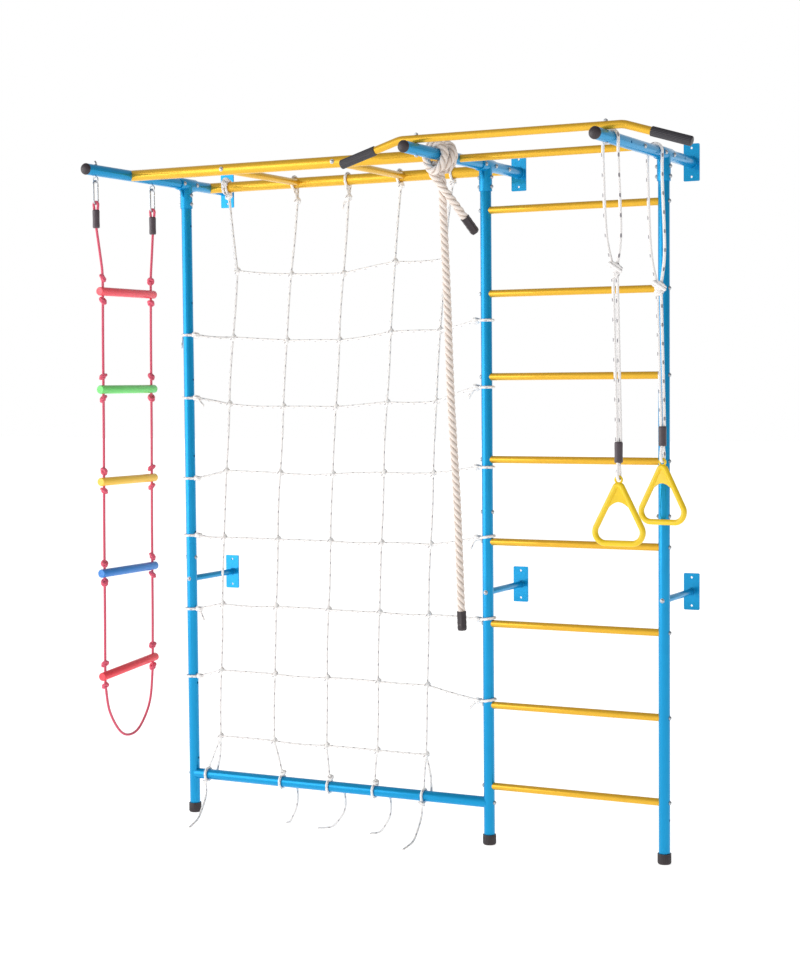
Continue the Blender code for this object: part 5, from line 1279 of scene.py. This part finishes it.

# %% [markdown]
# The long end leaves the hitch and swings under it. It is one rope through the joint: 40 mm of it, round
# the joint's centre, bend from the hitch's direction to the swinging part's.

# %% Hanging part of the climbing rope
CAP_THICK, CAP_LONG, CAP_DEEP, CAP_FLUTES, WRINKLE = 0.0022, 0.064, 0.003, 5, 0.0022
CAP_BELOW, ROPE_SHORT_OF_TIP, BEND_REACH = 0.073, 0.012, 0.020
hanging = route([(-0.018, NEAR_Y + 0.003, -0.028), (-0.011, NEAR_Y + 0.018, -0.045),
                 climb_points[0] - leaving * 0.036, climb_points[0], swing_centre]
                + climb_points[1:], 0.012)
hang_way = (hanging[-1] - hanging[-2]).normalized()
rope_end = hanging[-1] + hang_way * CAP_BELOW
hang_line = hanging + [rope_end - hang_way * ROPE_SHORT_OF_TIP]
climbing_piece = piece("climbing_rope_hang", laid_rope("Hanging rope", hang_line), COTTON,
                       "climbing_rope", body=None, sharp=60)
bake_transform(climbing_piece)


def cap_piece(side, tip, way, body):
    """Rubber cap with wrinkles where it was shrunk on to the strands."""
    inner, outer = CLIMB_R + GAP, CLIMB_R + GAP + CAP_THICK
    profile = [(0, CAP_DEEP), (0.6 * outer, CAP_DEEP - 0.0002), (0.86 * outer, 0.4 * CAP_DEEP),
               (0.96 * outer, -0.003), (outer, -0.008), (0.95 * outer, -0.016),
               (outer, -0.025), (0.95 * outer, -0.034), (0.99 * outer, -0.044),
               (0.96 * outer, -0.052), (outer, -0.058), (outer, CAP_DEEP - CAP_LONG),
               (inner, CAP_DEEP - CAP_LONG), (inner, 0.0), (0, 0.0)]
    cap = Shape().turn(profile, along(way, tip), 72, CAP_FLUTES, WRINKLE)
    return piece(f"{side}_end_cap", cap.mesh(f"{side}_cap"), RUBBER, f"{side}_cap", body=body,
                 sharp=60)


cap_piece("tail", tail_end, tail_way, "climbing_knot")
rope_cap = cap_piece("rope", rope_end, hang_way, "climbing_rope")
print("hanging rope:", round(line_length(hang_line), 3), "m")

# %% [markdown]
# A ring is one moulding: a rounded triangle of thick bar, a flat web in its top corner and an eye for the
# rope. The outline is the outer touch line of three circles, sampled closely so that the sweep is smooth.

# %% Gym rings
RING_X = RIGHT_X + 0.018
RINGS = {"front": (-0.752, -1.027, 0.0, -0.397, -0.766),
         "rear": (-0.352, -0.990, math.radians(-8), -0.436, -0.370)}
RING_BAR_R, RING_WIDE, RING_DROP, CORNER_BEND, APEX_BEND, APEX_Z = (
    0.0095, 0.172, 0.203, 0.034, 0.012, -0.028)
EYE_LINE_R, EYE_LIP_R = 0.0105, 0.0035
WEB_THICK, WEB_HALF, WEB_Z, ARCH_RISE, ARCH_STEPS = 0.0080, 0.044, -0.095, 0.027, 12


def ring_outline():
    """Closed line round three circles: the narrow top and the two lower corners."""
    half, low = RING_WIDE / 2 - RING_BAR_R - CORNER_BEND, -(RING_DROP - RING_BAR_R - CORNER_BEND)
    circles = [(Vector((0, APEX_Z)), APEX_BEND), (Vector((-half, low)), CORNER_BEND),
               (Vector((half, low)), CORNER_BEND)]
    points = []
    for i in range(240):
        a = 2 * math.pi * i / 240
        way = Vector((math.cos(a), math.sin(a)))
        centre, r = max(circles, key=lambda c: c[0].dot(way) + c[1])
        spot = centre + way * r
        if not points or (spot - points[-1]).length > 0.0004:
            points.append(spot)
    even = []
    for one, other in zip(points, points[1:] + points[:1]):
        steps = max(1, round((other - one).length / 0.006))
        even += [one.lerp(other, k / steps) for k in range(steps)]
    return even


for name, (y, eye_z, yaw, _, _) in RINGS.items():
    world = Matrix.Translation((RING_X, y, eye_z)) @ Matrix.Rotation(yaw, 4, "Z")
    shape = Shape().sweep([world @ Vector((p.x, 0, p.y)) for p in ring_outline()], 0.0094,
                          sides=24, closed=True)
    eye = [world @ Vector((EYE_LINE_R * math.cos(a), 0, EYE_LINE_R * math.sin(a)))
           for a in (2 * math.pi * i / 40 for i in range(40))]
    shape.sweep(eye, EYE_LIP_R, sides=14, closed=True)
    arch = [(WEB_HALF - 2 * WEB_HALF * k / ARCH_STEPS,
             WEB_Z + ARCH_RISE * math.sin(math.pi * k / ARCH_STEPS)) for k in range(ARCH_STEPS + 1)]
    shape.slab([(-0.010, -0.026), (-0.0065, -0.013), (0.0065, -0.013), (0.010, -0.026)] + arch,
               WEB_THICK, world @ Matrix.Rotation(math.pi / 2, 4, "X"))
    piece(f"gym_ring_{name}", shape.mesh(f"ring_{name}"), LEMON, f"ring_{name}",
          body=f"ring_{name}", sharp=50)

# %% [markdown]
# Each ring hangs on a doubled rope. It runs from the knot over the arm and back, and from the knot down
# through a sleeve to the ring's eye and up again. The knot is wound three times, and both lines end in it.
# At the eye the rope bends in the plane across the ring, which is why that part of its line is turned by
# the yaw.

# %% Ring ropes
RING_ROPE_R, BORE_R, EYE_BEND = 0.005, 0.007, 0.0112
OVER_ARM = TUBE_R + GAP + RING_ROPE_R
WINDINGS = ((0.010, (0.15, 0.2, 1), 0.021, 0.0190, 0.6, 2.6, 0.35),
            (-0.008, (-0.2, 0.1, 1), 0.019, 0.0115, 2.6, 2.2, 0.3),
            (0.006, (1, 0.4, 0.3), 0.021, 0.0140, 1.0, 1.5, 0.3))
CUFF = ((0, -0.032), (0.0115, -0.032), (0.0130, -0.028), (0.0126, -0.01), (0.0128, 0.012),
        (0.0130, 0.028), (0.0115, 0.032), (0, 0.032))
ring_cords = []
for name, (y, eye_z, yaw, knot_z, top_y) in RINGS.items():
    body = f"ring_rope_{name}"
    bight_z = eye_z + BORE_R * math.cos(math.pi / 10) - RING_ROPE_R - GAP
    sleeve_z = eye_z + 0.051 + 0.032
    knot = Vector((RIGHT_X + 0.010, top_y + (y - top_y) * 0.6, knot_z))
    arc = [Vector((RIGHT_X + OVER_ARM * math.cos(a), top_y, OVER_ARM * math.sin(a)))
           for a in (math.pi * (1 - i / 20) for i in range(21))]
    rise = [knot + Vector((-0.005, 0, 0.004)), Vector((RIGHT_X - 0.018, knot.y, 0.72 * knot_z)),
            Vector((RIGHT_X - OVER_ARM, top_y, 0.2 * knot_z)), arc[0]]
    fall = [arc[-1], Vector((RIGHT_X + OVER_ARM, top_y, 0.2 * knot_z)),
            Vector((RIGHT_X + 0.028, knot.y, 0.72 * knot_z)), knot + Vector((0.005, 0, 0.004))]
    top_line = route(rise, 0.012)[:-1] + arc + route(fall, 0.012)[1:]
    through = Vector((-math.sin(yaw), math.cos(yaw), 0))
    hole = Vector((RING_X, y, 0))
    legs = [[knot + Vector((sign * 0.006, sign * 0.002, -0.012)),
             Vector((RING_X + sign * 0.005, y + sign * 0.003, sleeve_z + 0.06)),
             Vector((RING_X + sign * 0.003, y + sign * 0.0052, sleeve_z + 0.03)),
             hole + through * sign * 0.0060 + Vector((0, 0, eye_z + 0.060)),
             hole + through * sign * (EYE_BEND + 0.001)
             + Vector((0, 0, bight_z + EYE_BEND + 0.010))] for sign in (-1, 1)]
    bight = [hole + through * EYE_BEND * math.cos(a)
             + Vector((0, 0, bight_z + EYE_BEND + EYE_BEND * math.sin(a)))
             for a in (math.pi + math.pi * i / 14 for i in range(15))]
    low_line = route(legs[0], 0.012) + bight + route(legs[1][::-1], 0.012)
    top_rope, low_rope = (
        piece(f"ring_{part}_{name}", Shape().sweep(line, RING_ROPE_R, 12).mesh(part), RING_ROPE,
              f"ring_rope_{name}", body=body, sharp=60)
        for part, line in (("loop", top_line), ("fall", low_line)))
    tie = Shape()
    for up, way, half_high, wind_r, start, turns, slant in WINDINGS:
        wound(tie, knot + Vector((0, 0, up)), way, 1.15 * RING_ROPE_R, half_high, wind_r, start,
              turns, slant)
    tie_piece = piece(f"ring_knot_{name}", tie.mesh("Knot"), RING_ROPE, body=body, sharp=60)
    cuff = Shape().turn(rounded(CUFF, 0.002), Matrix.Translation((RING_X, y, sleeve_z)), sides=40)
    cuff_piece = piece(f"ring_sleeve_{name}", cuff.mesh("Sleeve"), SLEEVE, body=body, sharp=60)
    ring_cords += [(top_rope, top_line, tie_piece), (low_rope, low_line, cuff_piece)]
    print(name, "ring rope:", round(line_length(top_line) + line_length(low_line), 3), "m")

# %% [markdown]
# The net hangs from the rear rail and leans forward to the cross bar. Five upright strands and eight level
# ones are tied where they cross. The level strands, apart from the first and the last, are tied to the
# posts as well. The places of the knots follow one rule, read from the photograph, and the upper rows sag
# by an amount of their own at each column.

# %% Places in the net
NET_R, NET_KNOT = 0.0046, 0.021
TURN_R = NET_R + GAP
OFF_TUBE = TUBE_R + TURN_R
COLUMNS, ROWS = 5, 8
FIRST_ROW_Z, ROW_STEP, FIRST_COLUMN_X, COLUMN_STEP, COLUMN_NARROWING, LEAN_LEFT = (
    -0.314, 0.2443, -1.055, 0.229, 0.006, 0.030)
TOP_TURNS = (-1.115, -0.834, -0.613, -0.404, -0.196)
TOP_TIES = (-1.115, -0.822, -0.610, -0.399, -0.196)
TOP_DROPS = (0.033, 0.067, 0.064, 0.033, 0.033)
LOW_TIES = (-1.140, -0.823, -0.627, -0.444, -0.250)
LEFT_TIES = (1.766, 1.536, 1.241, 1.031, 0.759, 0.509)
RIGHT_TIES = (1.794, 1.568, 1.297, 1.042, 0.776, 0.4915)
NUT_UP, RUNG_UP = 0.0125, 0.020
NET_SAGS = (0.0, 0.020, 0.024, -0.010, -0.012)


def net_y(z):
    share = min(1.0, max(0.0, -z / -CROSSBAR_Z))
    return POST_Y + (REAR_RAIL_Y - POST_Y) * (1 - share) ** 2.2


def net_node(column, row):
    sag = NET_SAGS[column] * max(0.0, 1 - row / 4)
    z = FIRST_ROW_Z - ROW_STEP * row - sag
    x = (FIRST_COLUMN_X + COLUMN_STEP * column - COLUMN_NARROWING * column * (column - 1)
         - LEAN_LEFT * row / (ROWS - 1))
    return Vector((x, net_y(z), z))


def tie_levels(side, i):
    """Heights of a tie's turn on the net's side of its post and on the far side."""
    if side == "left":
        return [FLOOR_Z + LEFT_TIES[i]] * 2
    level = FLOOR_Z + RIGHT_TIES[i]
    rung = min(RUNG_ZS, key=lambda z: abs(z - level))
    near = max(level, rung + NUT_UP) if abs(rung - level) < NUT_UP else level
    far = max(level, rung + RUNG_UP) if abs(rung - level) < RUNG_UP else level
    return near, far


def tie_knot(side, i):
    x = LEFT_X + 0.031 if side == "left" else MIDDLE_X - 0.039
    return Vector((x, POST_Y, tie_levels(side, i)[0]))


def top_knot(column):
    return Vector((TOP_TIES[column], REAR_RAIL_Y - 0.002, -TOP_DROPS[column]))


def low_end(column):
    return Vector((LOW_TIES[column], POST_Y, CROSSBAR_Z + OFF_TUBE))


def low_knot(column):
    out = (2 * TUBE_R + NET_KNOT) / 2 + 2 * GAP
    way = math.radians(49)
    return Vector((LOW_TIES[column], POST_Y - out * math.cos(way),
                   CROSSBAR_Z - out * math.sin(way)))


# %% [markdown]
# Slack rope is never straight. Between two knots each strand bows by a couple of millimetres, a little to
# one side and a little down, by an amount that changes from cell to cell but is the same on every run.

# %% Strands of the net
BOW_STEPS, UPRIGHT_BOW, LEVEL_BOW, SHORT = 8, 0.0026, 0.003, 0.05
REAR_TURN_X = TOP_TURNS[0] - 0.014
SECOND_LEGS = ((0, LOW_TIES[0] + 0.022), (4, LOW_TIES[4] + 0.018))
TIE_ENDS = (("left", 0, -0.002, -0.044), ("left", 1, 0.034, -0.028), ("left", 4, 0.022, -0.038),
            ("right", 1, -0.026, -0.036), ("right", 3, -0.022, -0.038),
            ("right", 5, -0.030, -0.030))


def bowed(start, end, number, amount):
    """Points from one knot towards the next, with a small bow."""
    way = end - start
    side = Vector((way.z, 0, -way.x)).normalized()
    swing = math.sin(2.4 * number + 0.7)
    points = []
    for k in range(BOW_STEPS):
        t = k / BOW_STEPS
        bow = amount * math.sin(math.pi * t)
        points.append(start + way * t + side * bow * swing + Vector((0, 0, -0.4 * bow)))
    return points


net = Shape()


def strand(points, spacing=None, closed=False):
    """Net rope along the points, smoothed if a spacing is given."""
    net.sweep(route(points, spacing) if spacing else points, NET_R, 10, closed)


spots = []
for column in range(COLUMNS):
    rail_end = Vector((TOP_TURNS[column], REAR_RAIL_Y, -OFF_TUBE))
    places = ([rail_end, top_knot(column)] + [net_node(column, row) for row in range(ROWS)]
              + [low_end(column)])
    line = []
    for i, (a, b) in enumerate(zip(places, places[1:])):
        line += bowed(a, b, 11 * column + i, UPRIGHT_BOW if i else 0.0)
    strand(line + [places[-1]])
    spots += [(p, (0.3, -1, 0.5 * math.sin(5 * i + column)))
              for i, p in enumerate(places[1:-1])]
for row in range(ROWS):
    places = [net_node(column, row) + Vector((0, -0.0023, 0)) for column in range(COLUMNS)]
    if 0 < row < ROWS - 1:
        ends = [tie_knot("left", row - 1), tie_knot("right", row - 1)]
        spots += [(p, (1, -0.4, 0.3)) for p in ends]
        places = ([Vector((LEFT_X + OFF_TUBE, POST_Y, ends[0].z)), ends[0]] + places
                  + [ends[1], Vector((MIDDLE_X - OFF_TUBE, POST_Y, ends[1].z))])
    line = []
    for i, (a, b) in enumerate(zip(places, places[1:])):
        line += bowed(a, b, 7 * row + i, 0.0 if (b - a).length < SHORT else LEVEL_BOW)
    strand(line + [places[-1]])
for column in (1, 2):
    for sign in (-1, 1):
        side_of_rail = Vector((TOP_TURNS[column], REAR_RAIL_Y + sign * OFF_TUBE, -0.002))
        knot_side = top_knot(column) + Vector((0, sign * 0.004, 0.004))
        strand([side_of_rail, side_of_rail.lerp(knot_side, 0.5), knot_side])
strand([(REAR_TURN_X, REAR_RAIL_Y + OFF_TUBE, 0.0), (REAR_TURN_X, REAR_RAIL_Y + OFF_TUBE, -0.03),
        net_node(0, 0) + Vector((-0.010, 0.006, 0.004))], 0.03)
strand([top_knot(2) + Vector(by) for by in ((0, 0, 0), (-0.016, -0.006, -0.022),
                                            (-0.022, -0.004, -0.041))], 0.008)
for column, at_x in SECOND_LEGS:
    behind_bar = Vector((at_x, POST_Y + OFF_TUBE, CROSSBAR_Z + 0.004))
    low_node = net_node(column, ROWS - 1)
    strand([low_node, low_node.lerp(behind_bar, 0.5) + Vector((0.006, 0, 0)), behind_bar], 0.02)
for side, i, across_by, down_by in TIE_ENDS:
    start = tie_knot(side, i)
    if side == "left" and across_by < 0:
        start.x = LEFT_X - OFF_TUBE
    strand([start, start + Vector((0.4 * across_by, -0.005, 0.3 * down_by)),
            start + Vector((across_by, -0.007, down_by))], 0.008)
on_rail = Vector((TOP_TURNS[0] - 0.007, REAR_RAIL_Y - 0.4 * OFF_TUBE, 0.92 * OFF_TUBE))
spots += [(on_rail, (1, 0.2, 0.4)), (on_rail + Vector((0, -0.012, -0.010)), (0.2, 1, -0.6))]
print("knots in the net:", len(spots))

# %% Turns round rail, posts and cross bar
def turn_round(centre, axis, tilt=0.0):
    strand(circle_points(centre, OFF_TUBE / math.cos(tilt), axis, 32), closed=True)


for x in TOP_TURNS + (REAR_TURN_X,):
    turn_round((x, REAR_RAIL_Y, 0), (1, 0, 0))
for x in LOW_TIES:
    turn_round((x, POST_Y, CROSSBAR_Z), (1, 0, 0))
for side, x in (("left", LEFT_X), ("right", MIDDLE_X)):
    for i in range(ROWS - 2):
        near, far = tie_levels(side, i)
        tilt = math.atan((far - near) / (2 * OFF_TUBE))
        turn_round((x, POST_Y, (near + far) / 2), (-math.sin(tilt), 0, math.cos(tilt)), tilt)

# %% [markdown]
# The knot of the net is drawn once, two short windings that cross, and the copies tree puts it on every
# crossing. The facing vectors differ a little from knot to knot, so the copies don't look stamped.

# %% Knots of the net
knot_model = Shape()
wound(knot_model, (0, 0, 0), (1, 0.2, 0.1), 1.1 * NET_R, 0.0150, 0.0095, 0.4, 1.6, 0.4)
wound(knot_model, (0, 0, 0), (-0.2, 1, 0.3), 1.1 * NET_R, 0.0140, 0.0090, 2.2, 1.4, 0.4)
net_knots = place_copies("Net knots", knot_model.mesh("Knot"), spots, NET_ROPE)
net_body = merged(net.mesh("Strands"), net_knots, name="net")
piece("rope_net", net_body, NET_ROPE, "climbing_net", sharp=60)

# %% [markdown]
# Each upright strand ends in a knot at the cross bar and a free tail that reaches the floor and comes
# forward on it. The first and the last knot lie in front of the bar and a little below its middle. The
# other three sit on it, and their tails come down behind it. The tails are soft rope, each a piece of its
# own, and bare at a slightly thinner end.

# %% Tails of the net
TAIL_ENDS = ((-1.063, -0.537), (-0.787, -0.323), (-0.641, -0.351), (-0.434, -0.344),
             (-0.225, -0.500))
ON_BAR = (1, 2, 3)
BEHIND, TAIL_DROP_X = POST_Y + OFF_TUBE, 0.052
floor_level = FLOOR_Z + NET_R + GAP
for column, (end_x, end_y) in enumerate(TAIL_ENDS):
    if column in ON_BAR:
        knot_at = low_end(column) + Vector((0.004, 0, 0.008))
        tie_x, drop_x = LOW_TIES[column], LOW_TIES[column] + TAIL_DROP_X
        points = [Vector(p) for p in ((tie_x, BEHIND, CROSSBAR_Z),
                                      (tie_x + 0.026, BEHIND, CROSSBAR_Z - 0.002),
                                      (drop_x, BEHIND - 0.008, CROSSBAR_Z - 0.022),
                                      (drop_x + 0.010, POST_Y - 0.004, CROSSBAR_Z - 0.080))]
        landing, shares = Vector((drop_x, POST_Y - 0.016, floor_level)), (0.25, 0.6, 1.0)
    else:
        knot_at = low_knot(column)
        landing, shares = Vector((knot_at.x, knot_at.y, floor_level)), (0.4, 0.7, 1.0)
        points = [knot_at, knot_at + Vector((0.12 * (end_x - knot_at.x),
                                             0.06 * (end_y - knot_at.y), -0.050))]
    way = Vector((end_x - landing.x, end_y - landing.y, 0))
    points += [landing + way * done + Vector((0, 0, 0.010 if done < 0.5 else 0.0))
               for done in shares]
    line = route(points, 0.008)
    for point in line:
        point.z = max(point.z, floor_level)
    radii = [NET_R] * (len(line) - 1) + [0.8 * NET_R]
    tail = Shape().sweep(line, radii, sides=10, ends="flat")
    piece(f"net_tail_{column + 1}", tail.mesh("Tail"), NET_ROPE,
                             "climbing_net", sharp=60)
    knot = Shape()
    wound(knot, knot_at, (0, -0.3, 1), NET_R, 0.0125, 0.0085, 0.9 * column, 1.8)
    piece(f"net_tail_knot_{column + 1}", knot.mesh("Tail knot"), NET_ROPE, sharp=60)


# %% [markdown]
# The stage is a pale floor that runs out of sight in a white studio. The studio's walls are bright, and its
# ceiling and right side are darker, which gives the tubes darker tops and dark right sides. The backdrop
# itself stays white from every side, so the camera's own rays see full strength. One wall-sized soft light
# on the left puts the broad bright band down the left half of every post. The floor glows by itself, as an
# overlit paper floor does, so that its far edge vanishes.

# %% Floor and light
FLOOR_HALF, FLOOR_DOWN, FLOOR_GLOW = 40, 0.0005, 0.72
DARK_STRENGTH = 0.4
WHITE = (1, 1, 1, 1)
KEY_PLACE, KEY_AIM = (-5.2, -4.1, -0.7), (-0.3, -0.3, -1.0)
KEY_WIDE, KEY_HIGH, KEY_WATTS = 7.0, 4.6, 215

floor_mesh = bpy.data.meshes.new("Floor")
corners = ((-1, -1), (1, -1), (1, 1), (-1, 1))
floor_mesh.from_pydata([(FLOOR_HALF * sx, FLOOR_HALF * sy, FLOOR_Z - FLOOR_DOWN)
                        for sx, sy in corners], [], [(0, 1, 2, 3)])
floor = linked("Floor", floor_mesh)
paper, _, paper_shader = finish_named("Pale studio floor", "F4F4F4", 0.9)
paper_shader.inputs["Emission Color"].default_value = WHITE
paper_shader.inputs["Emission Strength"].default_value = FLOOR_GLOW
floor_mesh.materials.append(paper)

world = bpy.data.worlds.new("Studio")
bpy.context.scene.world = world
world.use_nodes = True
sky, backdrop = world.node_tree, world.node_tree.nodes["Background"]
toward = add(sky, "ShaderNodeTexCoord").outputs["Generated"]
ways = add(sky, "ShaderNodeSeparateXYZ", {0: toward})
ceiling, to_right = (
    add(sky, "ShaderNodeMapRange", {"Value": ways.outputs[axis], "From Min": start,
                                    "From Max": end, "To Min": 1.0, "To Max": DARK_STRENGTH})
    for axis, start, end in ((2, 0.2, 0.85), (0, 0.0, 0.8)))
dim = add(sky, "ShaderNodeMath", {0: ceiling.outputs["Result"], 1: to_right.outputs["Result"]},
          operation="MULTIPLY")
seen = add(sky, "ShaderNodeLightPath").outputs["Is Camera Ray"]
strength = add(sky, "ShaderNodeMath", {0: dim.outputs[0], 1: seen}, operation="MAXIMUM")
sky.links.new(strength.outputs[0], backdrop.inputs["Strength"])
backdrop.inputs["Color"].default_value = WHITE

key = bpy.data.lights.new("Key", "AREA")
key.shape, key.size, key.size_y, key.energy = "RECTANGLE", KEY_WIDE, KEY_HIGH, KEY_WATTS
linked("Key", key).matrix_world = along(Vector(KEY_PLACE) - Vector(KEY_AIM), KEY_PLACE)
bpy.context.scene.view_settings.view_transform = "Standard"
